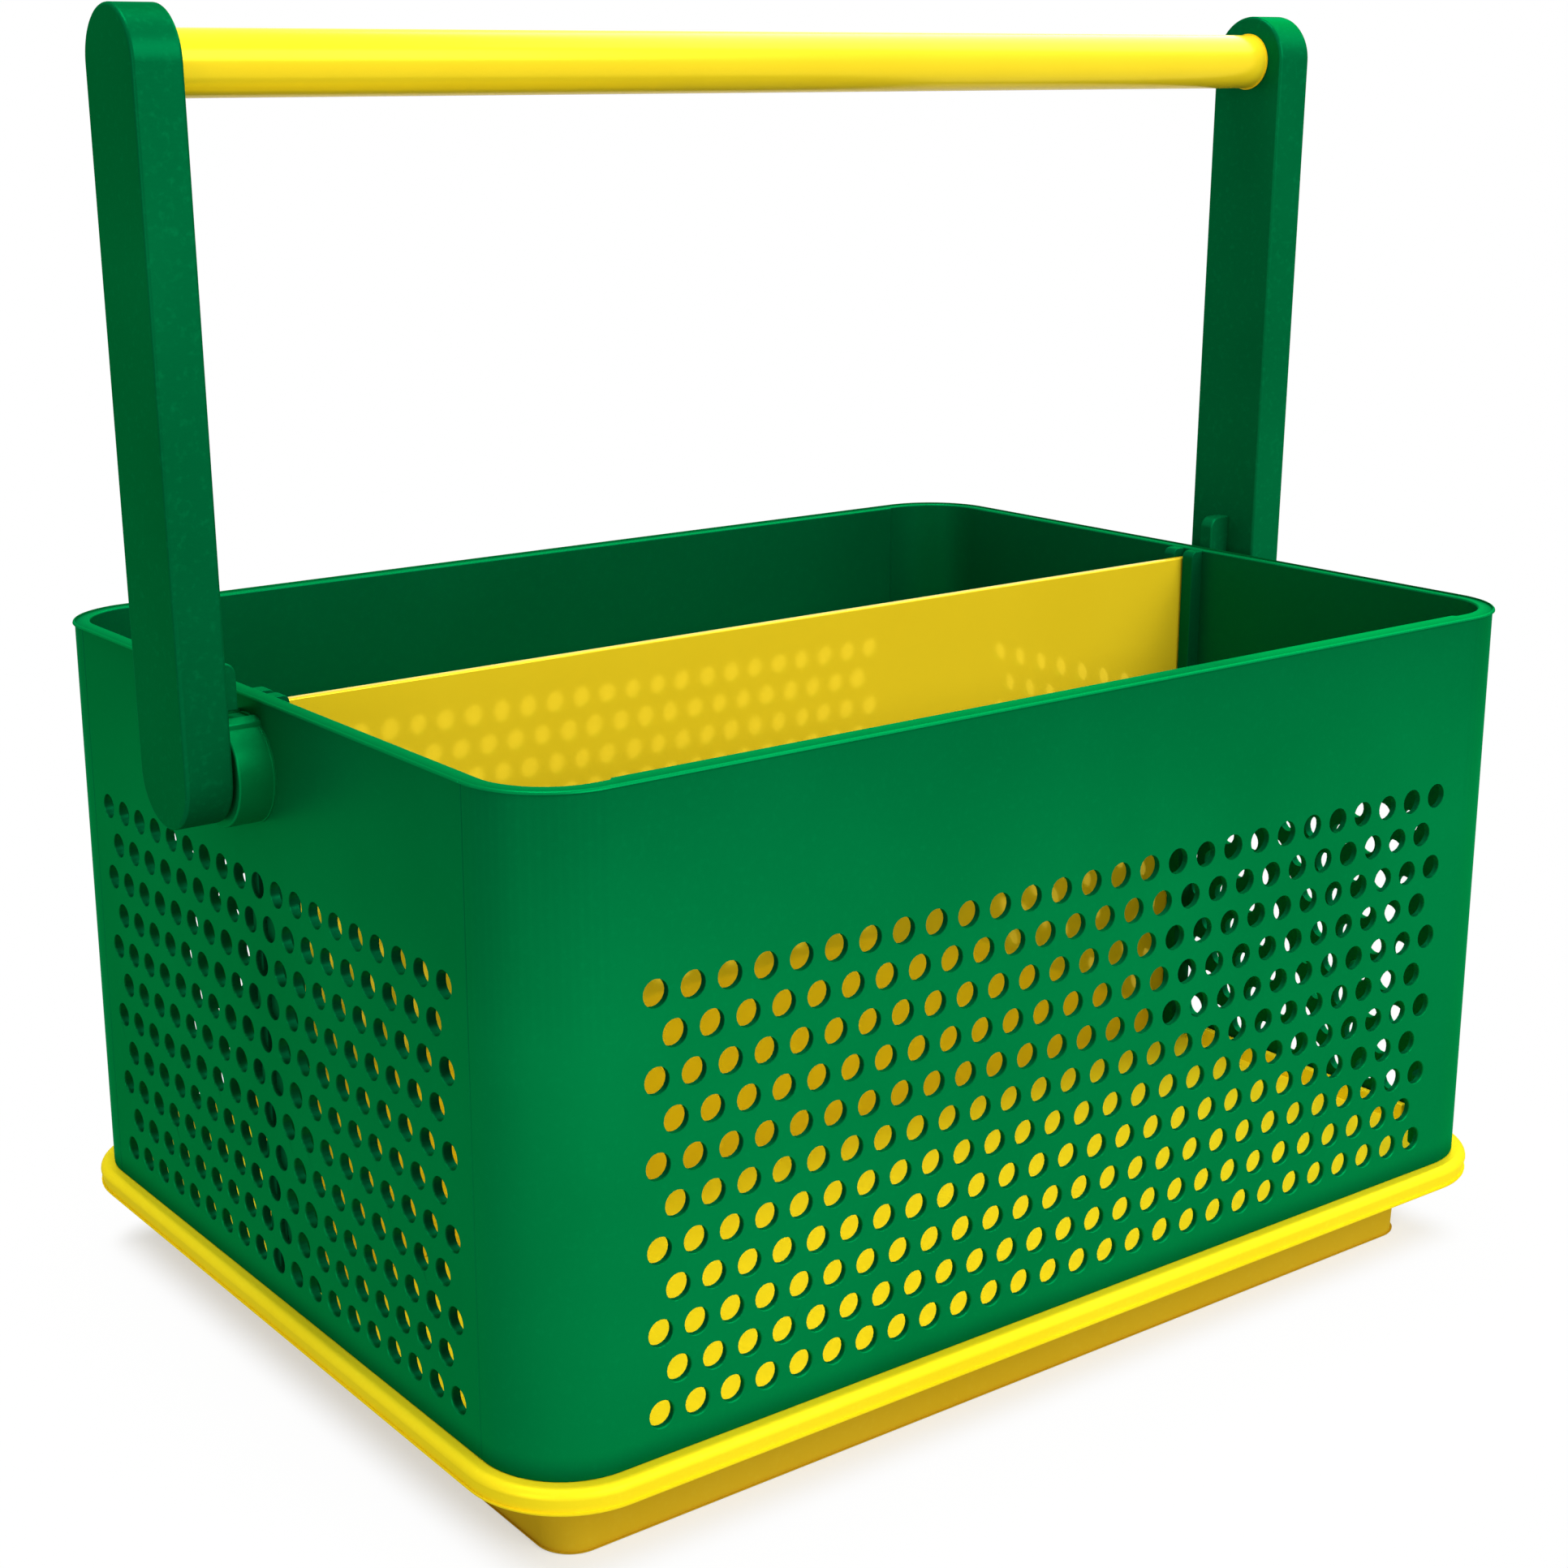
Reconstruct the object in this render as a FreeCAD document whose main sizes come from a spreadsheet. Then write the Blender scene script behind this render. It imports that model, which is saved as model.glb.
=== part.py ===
import FreeCAD, Part
import math
import os
import re
import Sketcher
from FreeCAD import Vector

# Housekeeping caddy. A perforated green tub, open below, is screwed down on a yellow base with a
# plinth. A yellow divider drops between ribs inside the end walls. The carrying handle, two arms and
# a grip tube, swings on shoulder screws that turn in a blind bore in the hub on each end wall.
#
# The caddy stands on z = 0 and is centred on the z axis. X runs along the long walls and Y from the
# front wall to the back wall. Sizes are in millimetres.

SIZES = {
    # tub
    "tub_length": 305.0,
    "tub_width": 229.0,
    "tub_height": 149.0,
    "corner_radius": 21.0,
    "wall": 2.8,
    "panel_wall": 2.0,
    "rim_chamfer": 0.6,
    # thick band round the top of the tub
    "band_depth": 36.0,
    "band_wall": 5.4,
    "band_end_wall": 4.4,
    # perforations, staggered row by row
    "hole_side": 7.4,
    "hole_pitch": 12.7,
    "row_pitch": 13.4,
    "hole_margin": 30.5,
    "row_margin_top": 9.0,
    "row_margin_bottom": 10.0,
    # ribs that hold the divider
    "rib_width": 4.0,
    "rib_depth": 4.0,
    "rib_drop": 2.0,
    "rib_round": 1.8,
    # hub on each end wall
    "pivot_drop": 17.0,
    "hub_radius": 12.5,
    "hub_depth": 8.4,
    "hub_slot_radius": 12.0,
    "lip_radius": 13.6,
    "lip_start": 3.8,
    "lip_width": 2.5,
    # screw bosses in the corners of the tub
    "boss_radius": 4.5,
    "boss_height": 20.0,
    "boss_merge": 0.27,
    "pilot_spare": 2.0,
    # base
    "plinth_height": 20.0,
    "plinth_inset": 15.4,
    "plinth_corner": 9.0,
    "plinth_wall": 2.4,
    "flange_height": 6.0,
    "flange_overhang": 3.8,
    "flange_round": 2.2,
    "flange_chamfer": 0.8,
    "floor_wall": 3.0,
    "floor_rib_wall": 2.0,
    "floor_rib_depth": 3.0,
    "lip_height": 5.0,
    "lip_wall": 2.0,
    "lip_gap": 0.3,
    "lip_end_gap": 3.0,
    # base screws
    "screw_radius": 1.75,
    "screw_length": 18.0,
    "screw_head_radius": 3.5,
    "screw_head_height": 2.4,
    "thread_gap": 0.03,
    "screw_hole_gap": 0.4,
    # divider
    "divider_wall": 2.4,
    "divider_drop": 2.5,
    "divider_side_gap": 0.4,
    "divider_end_gap": 0.5,
    # pivot
    "pivot_wall": 3.0,
    "shoulder_radius": 4.0,
    "pivot_thread_radius": 2.5,
    "pivot_thread_length": 7.0,
    "washer_thickness": 0.8,
    "washer_bore": 1.6,
    "bush_wall": 1.0,
    "bush_flange_radius": 9.0,
    "bush_flange": 0.8,
    "running_gap": 0.05,
    "arm_gap": 0.1,
    "insert_across": 8.0,
    "insert_gap": 0.05,
    "insert_length": 8.0,
    "insert_spare": 0.5,
    # handle
    "arm_reach": 151.8,
    "arm_width": 21.9,
    "arm_thickness": 11.4,
    "arm_chamfer": 0.9,
    "key_width": 4.2,
    "key_wall_gap": 2.5,
    "key_lip_gap": 0.3,
    "key_height": 11.1,
    "key_round": 3.0,
    "grip_radius": 7.2,
    "grip_wall": 2.1,
    "spigot_length": 18.0,
    "spigot_gap": 0.1,
}

doc = FreeCAD.newDocument("cleaning_caddy")
sheet = doc.addObject("Spreadsheet::Sheet", "sizes")
for row, (alias, value) in enumerate(SIZES.items(), start=1):
    sheet.set("A%d" % row, alias)
    sheet.set("B%d" % row, str(value))
    sheet.setAlias("B%d" % row, alias)
doc.recompute()
CELLS = {alias: "sizes." + alias for alias in SIZES}


def size(text):
    """Write an expression on the sheet's names as one on its cells, in brackets."""
    return "(" + re.sub("[a-z_]+", lambda word: CELLS.get(word.group(), word.group()), text) + ")"


def number(expression):
    """The present value of an expression."""
    return float(sheet.evalExpression(expression))


# Heights and half widths that several pieces share.
HALF_LENGTH = size("tub_length / 2")
HALF_WIDTH = size("tub_width / 2")
TUB_BOTTOM = size("plinth_height + flange_height")
RIM = size("plinth_height + flange_height + tub_height")
BAND_BOTTOM = size("plinth_height + flange_height + tub_height - band_depth")
FLOOR_UNDERSIDE = size("plinth_height + flange_height - floor_wall")
PIVOT_HEIGHT = size("plinth_height + flange_height + tub_height - pivot_drop")
BOSS_OUT = size("(corner_radius - wall - boss_radius + boss_merge) / sqrt(2) - corner_radius")
BOSS_X = HALF_LENGTH + " + " + BOSS_OUT
BOSS_Y = HALF_WIDTH + " + " + BOSS_OUT
RIB_GAP = size("divider_wall / 2 + divider_side_gap")
RIB_FACE = HALF_LENGTH + " - " + size("band_end_wall + rib_depth")
BAND_FACE = HALF_LENGTH + " - " + size("band_end_wall")

# Places along the pivot axis, measured from the middle of the caddy outwards.
BORE_FLOOR = BAND_FACE + " + " + size("pivot_wall")
WASHER_FACE = BORE_FLOOR + " + " + size("running_gap + washer_thickness")
HUB_FACE = HALF_LENGTH + " + " + size("hub_depth")
BUSH_FACE = HUB_FACE + " + " + size("bush_flange")
ARM_FACE = BUSH_FACE + " + " + size("arm_gap")


def start_body(name):
    """An empty body whose label is its sub-part's name."""
    body = doc.addObject("PartDesign::Body", name)
    body.Label = name
    return body


def start_sketch(body, name, role, offset=None):
    """A sketch on an origin plane of its own body, moved along the plane's normal by offset."""
    sketch = body.newObject("Sketcher::SketchObject", name)
    plane = [feature for feature in body.Origin.OriginFeatures if feature.Role == role][0]
    sketch.AttachmentSupport = [(plane, "")]
    sketch.MapMode = "FlatFace"
    if offset:
        sketch.setExpression("AttachmentOffset.Base.z", offset)
    return sketch


def place_point(sketch, edge, point, x, y):
    """Hold one point of an edge at x, y, both expressions."""
    for kind, expression in (("DistanceX", x), ("DistanceY", y)):
        datum = Sketcher.Constraint(kind, -1, 1, edge, point, number(expression))
        sketch.setExpression("Constraints[%d]" % sketch.addConstraint(datum), expression)


def polygon(sketch, corners):
    """A closed outline of straight edges."""
    first = sketch.GeometryCount
    points = [Vector(number(x), number(y), 0) for x, y in corners]
    for here, there in zip(points, points[1:] + points[:1]):
        sketch.addGeometry(Part.LineSegment(here, there), False)
    count = len(corners)
    for edge in range(count):
        after = first + (edge + 1) % count
        sketch.addConstraint(Sketcher.Constraint("Coincident", first + edge, 2, after, 1))
    for edge, (x, y) in enumerate(corners, start=first):
        place_point(sketch, edge, 1, x, y)


def rectangle(sketch, left, low, right, high):
    """An upright rectangle between two corners."""
    polygon(sketch, [(left, low), (right, low), (right, high), (left, high)])


def circle(sketch, x, y, radius):
    """A circle whose centre and radius are expressions."""
    centre = Vector(number(x), number(y), 0)
    edge = sketch.addGeometry(Part.Circle(centre, Vector(0, 0, 1), number(radius)), False)
    datum = Sketcher.Constraint("Radius", edge, number(radius))
    sketch.setExpression("Constraints[%d]" % sketch.addConstraint(datum), radius)
    place_point(sketch, edge, 3, x, y)


def rounded_rectangle(sketch, half_x, half_y, radius):
    """A rectangle centred on the origin, with an arc tangent to the sides at each corner."""
    first = sketch.GeometryCount
    reach_x, reach_y, turn = number(half_x), number(half_y), number(radius)
    centres = [(1, 1), (-1, 1), (-1, -1), (1, -1)]
    for step, (side_x, side_y) in enumerate(centres):
        middle = Vector(side_x * (reach_x - turn), side_y * (reach_y - turn), 0)
        start = step * math.pi / 2
        arc = Part.ArcOfCircle(Part.Circle(middle, Vector(0, 0, 1), turn), start, start + math.pi / 2)
        sketch.addGeometry(arc, False)
    for step in range(4):
        here = sketch.Geometry[first + step].EndPoint
        there = sketch.Geometry[first + (step + 1) % 4].StartPoint
        sketch.addGeometry(Part.LineSegment(here, there), False)
    for step in range(4):
        side, corner = first + 4 + step, first + step
        sketch.addConstraint(Sketcher.Constraint("Tangent", corner, 2, side, 1))
        sketch.addConstraint(Sketcher.Constraint("Tangent", side, 2, first + (step + 1) % 4, 1))
        sketch.addConstraint(Sketcher.Constraint("Horizontal" if step % 2 == 0 else "Vertical", side))
    for step in range(1, 4):
        sketch.addConstraint(Sketcher.Constraint("Equal", first, first + step))
    datum = Sketcher.Constraint("Radius", first, turn)
    sketch.setExpression("Constraints[%d]" % sketch.addConstraint(datum), radius)
    for kind, side, reach, expression in (
        ("DistanceY", 4, reach_y, half_y),
        ("DistanceX", 5, -reach_x, "-(" + half_x + ")"),
        ("DistanceY", 6, -reach_y, "-(" + half_y + ")"),
        ("DistanceX", 7, reach_x, half_x),
    ):
        datum = Sketcher.Constraint(kind, -1, 1, first + side, 1, reach)
        sketch.setExpression("Constraints[%d]" % sketch.addConstraint(datum), expression)


def slot(sketch, low, high, radius):
    """An upright slot on the vertical axis, with round ends centred at low and high."""
    bottom, top, turn = number(low), number(high), number(radius)
    axis = Vector(0, 0, 1)
    upper = Part.ArcOfCircle(Part.Circle(Vector(0, top, 0), axis, turn), 0, math.pi)
    lower = Part.ArcOfCircle(Part.Circle(Vector(0, bottom, 0), axis, turn), math.pi, 2 * math.pi)
    sketch.addGeometry(upper, False)
    sketch.addGeometry(Part.LineSegment(Vector(-turn, top, 0), Vector(-turn, bottom, 0)), False)
    sketch.addGeometry(lower, False)
    sketch.addGeometry(Part.LineSegment(Vector(turn, bottom, 0), Vector(turn, top, 0)), False)
    for edge in range(4):
        sketch.addConstraint(Sketcher.Constraint("Tangent", edge, 2, (edge + 1) % 4, 1))
    sketch.addConstraint(Sketcher.Constraint("Equal", 0, 2))
    datum = Sketcher.Constraint("Radius", 0, turn)
    sketch.setExpression("Constraints[%d]" % sketch.addConstraint(datum), radius)
    place_point(sketch, 0, 3, "0", high)
    place_point(sketch, 2, 3, "0", low)


def grow(body, sketch, name, length, reverse=False, both_ways=False):
    """Pad a sketch, away from its plane or to both sides of it."""
    feature = body.newObject("PartDesign::Pad", name)
    feature.Profile = sketch
    feature.Reversed = reverse
    feature.Midplane = both_ways
    feature.setExpression("Length", length)
    doc.recompute()
    return feature


def cut(body, sketch, name, length=None, reverse=False, both_ways=False):
    """Pocket a sketch, right through where no length is given, and make sure that it cuts."""
    before = body.Shape.Volume
    feature = body.newObject("PartDesign::Pocket", name)
    feature.Profile = sketch
    feature.Reversed = reverse
    feature.Midplane = both_ways
    if length:
        feature.setExpression("Length", length)
    else:
        feature.Type = "ThroughAll"
    doc.recompute()
    if feature.Shape.Volume >= before:
        raise ValueError(name + " cuts nothing")
    return feature


def turn(body, sketch, name, axis):
    """Revolve a half profile about one of its sketch's axes."""
    feature = body.newObject("PartDesign::Revolution", name)
    feature.Profile = sketch
    feature.ReferenceAxis = (sketch, [axis])
    feature.Angle = 360
    doc.recompute()
    return feature


def dress(body, kind, name, amount, chosen):
    """Fillet or chamfer the edges of the body's latest feature that chosen picks."""
    base = body.Tip
    names = ["Edge%d" % place for place, edge in enumerate(base.Shape.Edges, start=1) if chosen(edge)]
    feature = body.newObject("PartDesign::" + kind, name)
    feature.Base = (base, names)
    feature.setExpression("Radius" if kind == "Fillet" else "Size", amount)
    doc.recompute()
    return feature


def at_height(edge, height):
    """Whether an edge lies level at a height."""
    box = edge.BoundBox
    return abs(box.ZMin - height) < 0.01 and abs(box.ZMax - height) < 0.01


def tile(body, sketch, seed, name, columns, rows):
    """Repeat a cut along its sketch's level axis, and downwards at every second row."""
    pattern = body.newObject("PartDesign::MultiTransform", name)
    pattern.Originals = [seed]
    pattern.Refine = False
    steps = []
    for suffix, axis, pitch, count, downwards in (
        ("_columns", "H_Axis", size("hole_pitch"), columns, False),
        ("_rows", "V_Axis", size("2 * row_pitch"), rows, True),
    ):
        step = body.newObject("PartDesign::LinearPattern", name + suffix)
        step.Direction = (sketch, [axis])
        step.Reversed = downwards
        step.Mode = "Spacing"
        step.setExpression("Offset", pitch)
        step.setExpression("Occurrences", count)
        steps.append(step)
    pattern.Transformations = steps
    body.Tip = pattern
    doc.recompute()
    return pattern


def mirrored_pairs(expressions):
    """The four corners that two expressions reach with either sign."""
    x, y = expressions
    return [(sign_x + x + ")", sign_y + y + ")") for sign_x in ("(", "-(") for sign_y in ("(", "-(")]


# ---- Tub: one moulding, with hubs, divider ribs and screw bosses ----

def build_tub():
    tub = start_body("tub")

    # The block that the walls are left from, with both hubs on one long round bar through it.
    outline = start_sketch(tub, "tub_outline", "XY_Plane", TUB_BOTTOM)
    rounded_rectangle(outline, HALF_LENGTH, HALF_WIDTH, size("corner_radius"))
    grow(tub, outline, "tub_block", size("tub_height"))
    dress(tub, "Chamfer", "rim_edge", size("rim_chamfer"), lambda edge: at_height(edge, number(RIM)))

    hubs = start_sketch(tub, "hub_outline", "YZ_Plane")
    circle(hubs, "0", PIVOT_HEIGHT, size("hub_radius"))
    grow(tub, hubs, "hubs", "2 * (" + HUB_FACE + ")", both_ways=True)

    # Two lips on top of each hub, and the flat between them.
    lip_near, lip_far = size("lip_start"), size("lip_start + lip_width")
    near_top = PIVOT_HEIGHT + " + " + size("sqrt(lip_radius^2 - lip_start^2)")
    far_top = PIVOT_HEIGHT + " + " + size("sqrt(lip_radius^2 - (lip_start + lip_width)^2)")
    lips = start_sketch(tub, "lip_outline", "YZ_Plane")
    for sign in ("", "-"):
        polygon(lips, [(sign + lip_near, PIVOT_HEIGHT), (sign + lip_far, PIVOT_HEIGHT),
                       (sign + lip_far, far_top), (sign + lip_near, near_top)])
    grow(tub, lips, "hub_lips", "2 * (" + HUB_FACE + ")", both_ways=True)

    # Everything inside the walls goes, and the rim is opened above the hub bar.
    inside = start_sketch(tub, "inside_outline", "XY_Plane", TUB_BOTTOM)
    rounded_rectangle(inside, HALF_LENGTH + " - " + size("wall"), HALF_WIDTH + " - " + size("wall"),
                      size("corner_radius - wall"))
    cut(tub, inside, "inside", reverse=True)

    slots = start_sketch(tub, "hub_slot_outline", "YZ_Plane", HALF_LENGTH)
    slot_floor = PIVOT_HEIGHT + " + " + size("hub_slot_radius")
    rectangle(slots, "-" + lip_near, slot_floor, lip_near, PIVOT_HEIGHT + " + " + size("hub_radius + 1"))
    cut(tub, slots, "hub_slot_right", size("hub_depth"), reverse=True)
    slots = start_sketch(tub, "hub_slot_outline_left", "YZ_Plane", "-" + HALF_LENGTH)
    rectangle(slots, "-" + lip_near, slot_floor, lip_near, PIVOT_HEIGHT + " + " + size("hub_radius + 1"))
    cut(tub, slots, "hub_slot_left", size("hub_depth"))

    # Long walls are thinner below the band.
    relief = start_sketch(tub, "panel_outline", "XY_Plane", TUB_BOTTOM)
    panel_end = HALF_LENGTH + " - " + size("corner_radius")
    for sign in ("", "-"):
        rectangle(relief, "-(" + panel_end + ")", sign + "(" + HALF_WIDTH + " - " + size("2 * wall") + ")",
                  panel_end, sign + "(" + HALF_WIDTH + " - " + size("panel_wall") + ")")
    cut(tub, relief, "panel_relief", size("tub_height - band_depth"), reverse=True)

    # The band: a thicker wall all round, and thicker again along the long walls, where it ends in
    # a slanted step before each corner.
    band = start_sketch(tub, "band_outline", "XY_Plane", BAND_BOTTOM)
    core = size("wall / 2")
    rounded_rectangle(band, HALF_LENGTH + " - " + core, HALF_WIDTH + " - " + core,
                      size("corner_radius - wall / 2"))
    rounded_rectangle(band, BAND_FACE, HALF_WIDTH + " - " + size("band_end_wall"),
                      size("corner_radius - band_end_wall"))
    grow(tub, band, "band", size("band_depth"))
    strips = start_sketch(tub, "band_strip_outline", "XY_Plane", BAND_BOTTOM)
    for sign in ("", "-"):
        outside = sign + "(" + HALF_WIDTH + " - " + core + ")"
        face = sign + "(" + HALF_WIDTH + " - " + size("band_wall") + ")"
        step_end = panel_end + " - " + size("band_wall - wall / 2")
        polygon(strips, [("-(" + panel_end + ")", outside), (panel_end, outside),
                         (step_end, face), ("-(" + step_end + ")", face)])
    grow(tub, strips, "band_strips", size("band_depth"))

    # Screw bosses in the corners.
    bosses = start_sketch(tub, "boss_outline", "XY_Plane", TUB_BOTTOM)
    for x, y in mirrored_pairs((BOSS_X, BOSS_Y)):
        circle(bosses, x, y, size("boss_radius"))
    grow(tub, bosses, "bosses", size("boss_height"))
    pilots = start_sketch(tub, "pilot_outline", "XY_Plane", TUB_BOTTOM)
    for x, y in mirrored_pairs((BOSS_X, BOSS_Y)):
        circle(pilots, x, y, size("screw_radius + thread_gap"))
    cut(tub, pilots, "pilot_holes", size("screw_length - flange_height + pilot_spare"), reverse=True)

    # Blind bores for the bushes, from the face of each hub.
    for side, face, inwards in (("right", HUB_FACE, False), ("left", "-(" + HUB_FACE + ")", True)):
        bore = start_sketch(tub, "pivot_bore_outline_" + side, "YZ_Plane", face)
        circle(bore, "0", PIVOT_HEIGHT, size("shoulder_radius + bush_wall + 2 * running_gap"))
        cut(tub, bore, "pivot_bore_" + side, HUB_FACE + " - (" + BORE_FLOOR + ")", reverse=inwards)

    # Perforations: the odd rows, then the even rows, half a pitch aside and one hole shorter.
    # Each cut runs right through the tub and makes the holes of two facing walls.
    rows = "floor(" + size("tub_height - band_depth - row_margin_top - row_margin_bottom") + " / "
    rows += size("row_pitch") + ") + 1"
    top_row = BAND_BOTTOM + " - " + size("row_margin_top")
    half_hole = size("hole_side / 2")
    for wall, role, reach in (("long", "XZ_Plane", "tub_length"), ("end", "YZ_Plane", "tub_width")):
        columns = "floor(" + size("(" + reach + " - 2 * hole_margin) / hole_pitch") + ") + 1"
        for parity, fewer, count in (("odd", 0, "floor((" + rows + " + 1) / 2)"),
                                     ("even", 1, "floor((" + rows + ") / 2)")):
            across = "-(" + columns + " - 1 - %d) / 2 * " % fewer + size("hole_pitch")
            height = top_row + " - %d * " % fewer + size("row_pitch")
            hole = start_sketch(tub, "hole_%s_%s" % (wall, parity), role)
            rectangle(hole, across + " - " + half_hole, height + " - " + half_hole,
                      across + " + " + half_hole, height + " + " + half_hole)
            seed = cut(tub, hole, "first_hole_%s_%s" % (wall, parity), both_ways=True)
            tile(tub, hole, seed, "holes_%s_%s" % (wall, parity), columns + " - %d" % fewer, count)

    # Ribs for the divider, two inside each end wall, rounded at the top.
    ribs = start_sketch(tub, "rib_outline", "XY_Plane", TUB_BOTTOM)
    rib_far = RIB_GAP + " + " + size("rib_width")
    for sign_x in ("", "-"):
        for sign_y in ("", "-"):
            rectangle(ribs, sign_x + "(" + RIB_FACE + ")", sign_y + RIB_GAP,
                      sign_x + "(" + HALF_LENGTH + " - " + core + ")", sign_y + "(" + rib_far + ")")
    grow(tub, ribs, "divider_ribs", size("tub_height - rib_drop"))
    rib_top = number(RIM + " - " + size("rib_drop"))
    rib_face = number(RIB_FACE)
    dress(tub, "Fillet", "rib_tops", size("rib_round"),
          lambda edge: at_height(edge, rib_top) and abs(abs(edge.CenterOfMass.x) - rib_face) < 0.01)
    return tub


# ---- Base: one moulding, with plinth, floor, ribs below and locating lips above ----

def build_base():
    base = start_body("base")
    flange = start_sketch(base, "flange_outline", "XY_Plane", size("plinth_height"))
    over = size("flange_overhang")
    rounded_rectangle(flange, HALF_LENGTH + " + " + over, HALF_WIDTH + " + " + over,
                      size("corner_radius + flange_overhang"))
    grow(base, flange, "flange", size("flange_height"))
    dress(base, "Fillet", "flange_top", size("flange_round"),
          lambda edge: at_height(edge, number(TUB_BOTTOM)))
    dress(base, "Chamfer", "flange_bottom", size("flange_chamfer"),
          lambda edge: at_height(edge, number(size("plinth_height"))))

    plinth = start_sketch(base, "plinth_outline", "XY_Plane")
    inset = size("plinth_inset")
    rounded_rectangle(plinth, HALF_LENGTH + " - " + inset, HALF_WIDTH + " - " + inset,
                      size("plinth_corner"))
    grow(base, plinth, "plinth", size("plinth_height + flange_height - floor_wall"))
    hollow = start_sketch(base, "hollow_outline", "XY_Plane")
    inset = size("plinth_inset + plinth_wall")
    rounded_rectangle(hollow, HALF_LENGTH + " - " + inset, HALF_WIDTH + " - " + inset,
                      size("plinth_corner - plinth_wall"))
    cut(base, hollow, "plinth_hollow", FLOOR_UNDERSIDE, reverse=True)

    # Ribs under the floor, in two sets that cross.
    half_rib = size("floor_rib_wall / 2")
    hollow_x = HALF_LENGTH + " - " + size("plinth_inset + plinth_wall / 2")
    hollow_y = HALF_WIDTH + " - " + size("plinth_inset + plinth_wall / 2")
    rib_level = FLOOR_UNDERSIDE + " - " + size("floor_rib_depth")
    along = start_sketch(base, "long_rib_outline", "XY_Plane", rib_level)
    for place in ("-(" + hollow_y + ") / 3", "(" + hollow_y + ") / 3"):
        rectangle(along, "-(" + hollow_x + ")", place + " - " + half_rib, hollow_x, place + " + " + half_rib)
    grow(base, along, "long_ribs", size("floor_rib_depth"))
    across = start_sketch(base, "cross_rib_outline", "XY_Plane", rib_level)
    for place in ("-(" + hollow_x + ") / 2", "0", "(" + hollow_x + ") / 2"):
        rectangle(across, place + " - " + half_rib, "-(" + hollow_y + ")", place + " + " + half_rib, hollow_y)
    grow(base, across, "cross_ribs", size("floor_rib_depth"))

    # Lips that centre the tub, just inside its walls, with room for the divider ribs.
    lips = start_sketch(base, "locating_lip_outline", "XY_Plane", TUB_BOTTOM)
    long_stop = HALF_LENGTH + " - " + size("corner_radius + lip_end_gap")
    short_stop = HALF_WIDTH + " - " + size("corner_radius + lip_end_gap")
    rib_clear = RIB_GAP + " + " + size("rib_width + lip_end_gap")
    for sign in ("", "-"):
        outer = sign + "(" + HALF_WIDTH + " - " + size("panel_wall + lip_gap") + ")"
        inner = sign + "(" + HALF_WIDTH + " - " + size("panel_wall + lip_gap + lip_wall") + ")"
        rectangle(lips, "-(" + long_stop + ")", inner, long_stop, outer)
        outer = sign + "(" + HALF_LENGTH + " - " + size("wall + lip_gap") + ")"
        inner = sign + "(" + HALF_LENGTH + " - " + size("wall + lip_gap + lip_wall") + ")"
        rectangle(lips, inner, rib_clear, outer, short_stop)
        rectangle(lips, inner, "-(" + rib_clear + ")", outer, "-(" + short_stop + ")")
    grow(base, lips, "locating_lips", size("lip_height"))

    # Screw holes through the flange, outside the plinth.
    holes = start_sketch(base, "screw_hole_outline", "XY_Plane")
    for x, y in mirrored_pairs((BOSS_X, BOSS_Y)):
        circle(holes, x, y, size("screw_radius + screw_hole_gap"))
    cut(base, holes, "screw_holes", reverse=True)
    return base


# ---- Base screws: four, alike, in one sub-part ----

def build_base_screws():
    screws = start_body("base_screws")
    screws.AllowCompound = True
    seat = size("plinth_height")
    heads = start_sketch(screws, "head_outline", "XY_Plane", seat)
    shanks = start_sketch(screws, "shank_outline", "XY_Plane", seat)
    for x, y in mirrored_pairs((BOSS_X, BOSS_Y)):
        circle(heads, x, y, size("screw_head_radius"))
        circle(shanks, x, y, size("screw_radius"))
    grow(screws, heads, "heads", size("screw_head_height"), reverse=True)
    grow(screws, shanks, "shanks", size("screw_length"))
    return screws


# ---- Divider: a plain sheet between the ribs, standing on the base ----

def build_divider():
    divider = doc.addObject("Part::Box", "divider")
    divider.Label = "divider"
    length = "2 * (" + BAND_FACE + " - " + size("divider_end_gap") + ")"
    divider.setExpression("Length", length)
    divider.setExpression("Width", size("divider_wall"))
    divider.setExpression("Height", size("tub_height - divider_drop"))
    divider.setExpression(".Placement.Base.x", "-(" + length + ") / 2")
    divider.setExpression(".Placement.Base.y", size("-1 * divider_wall / 2"))
    divider.setExpression(".Placement.Base.z", TUB_BOTTOM)
    doc.recompute()
    return divider


# ---- Handle: two arms on the pivots and a grip tube between them ----

def hexagon(sketch, height, across):
    """A hexagon on the vertical axis, centred at a height, with two level corners."""
    corner, flat = across + " / sqrt(3)", across + " / 2"
    half_corner = across + " / sqrt(12)"
    polygon(sketch, [(corner, height), (half_corner, height + " + " + flat),
                     ("-" + half_corner, height + " + " + flat), ("-" + corner, height),
                     ("-" + half_corner, height + " - " + flat), (half_corner, height + " - " + flat)])


def set_side(body, side):
    """Turn a piece that is drawn at the right-hand end to the end it belongs to."""
    half_turn = 0 if side == "right" else 180
    body.Placement = FreeCAD.Placement(Vector(0, 0, 0), FreeCAD.Rotation(Vector(0, 0, 1), half_turn))


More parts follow.
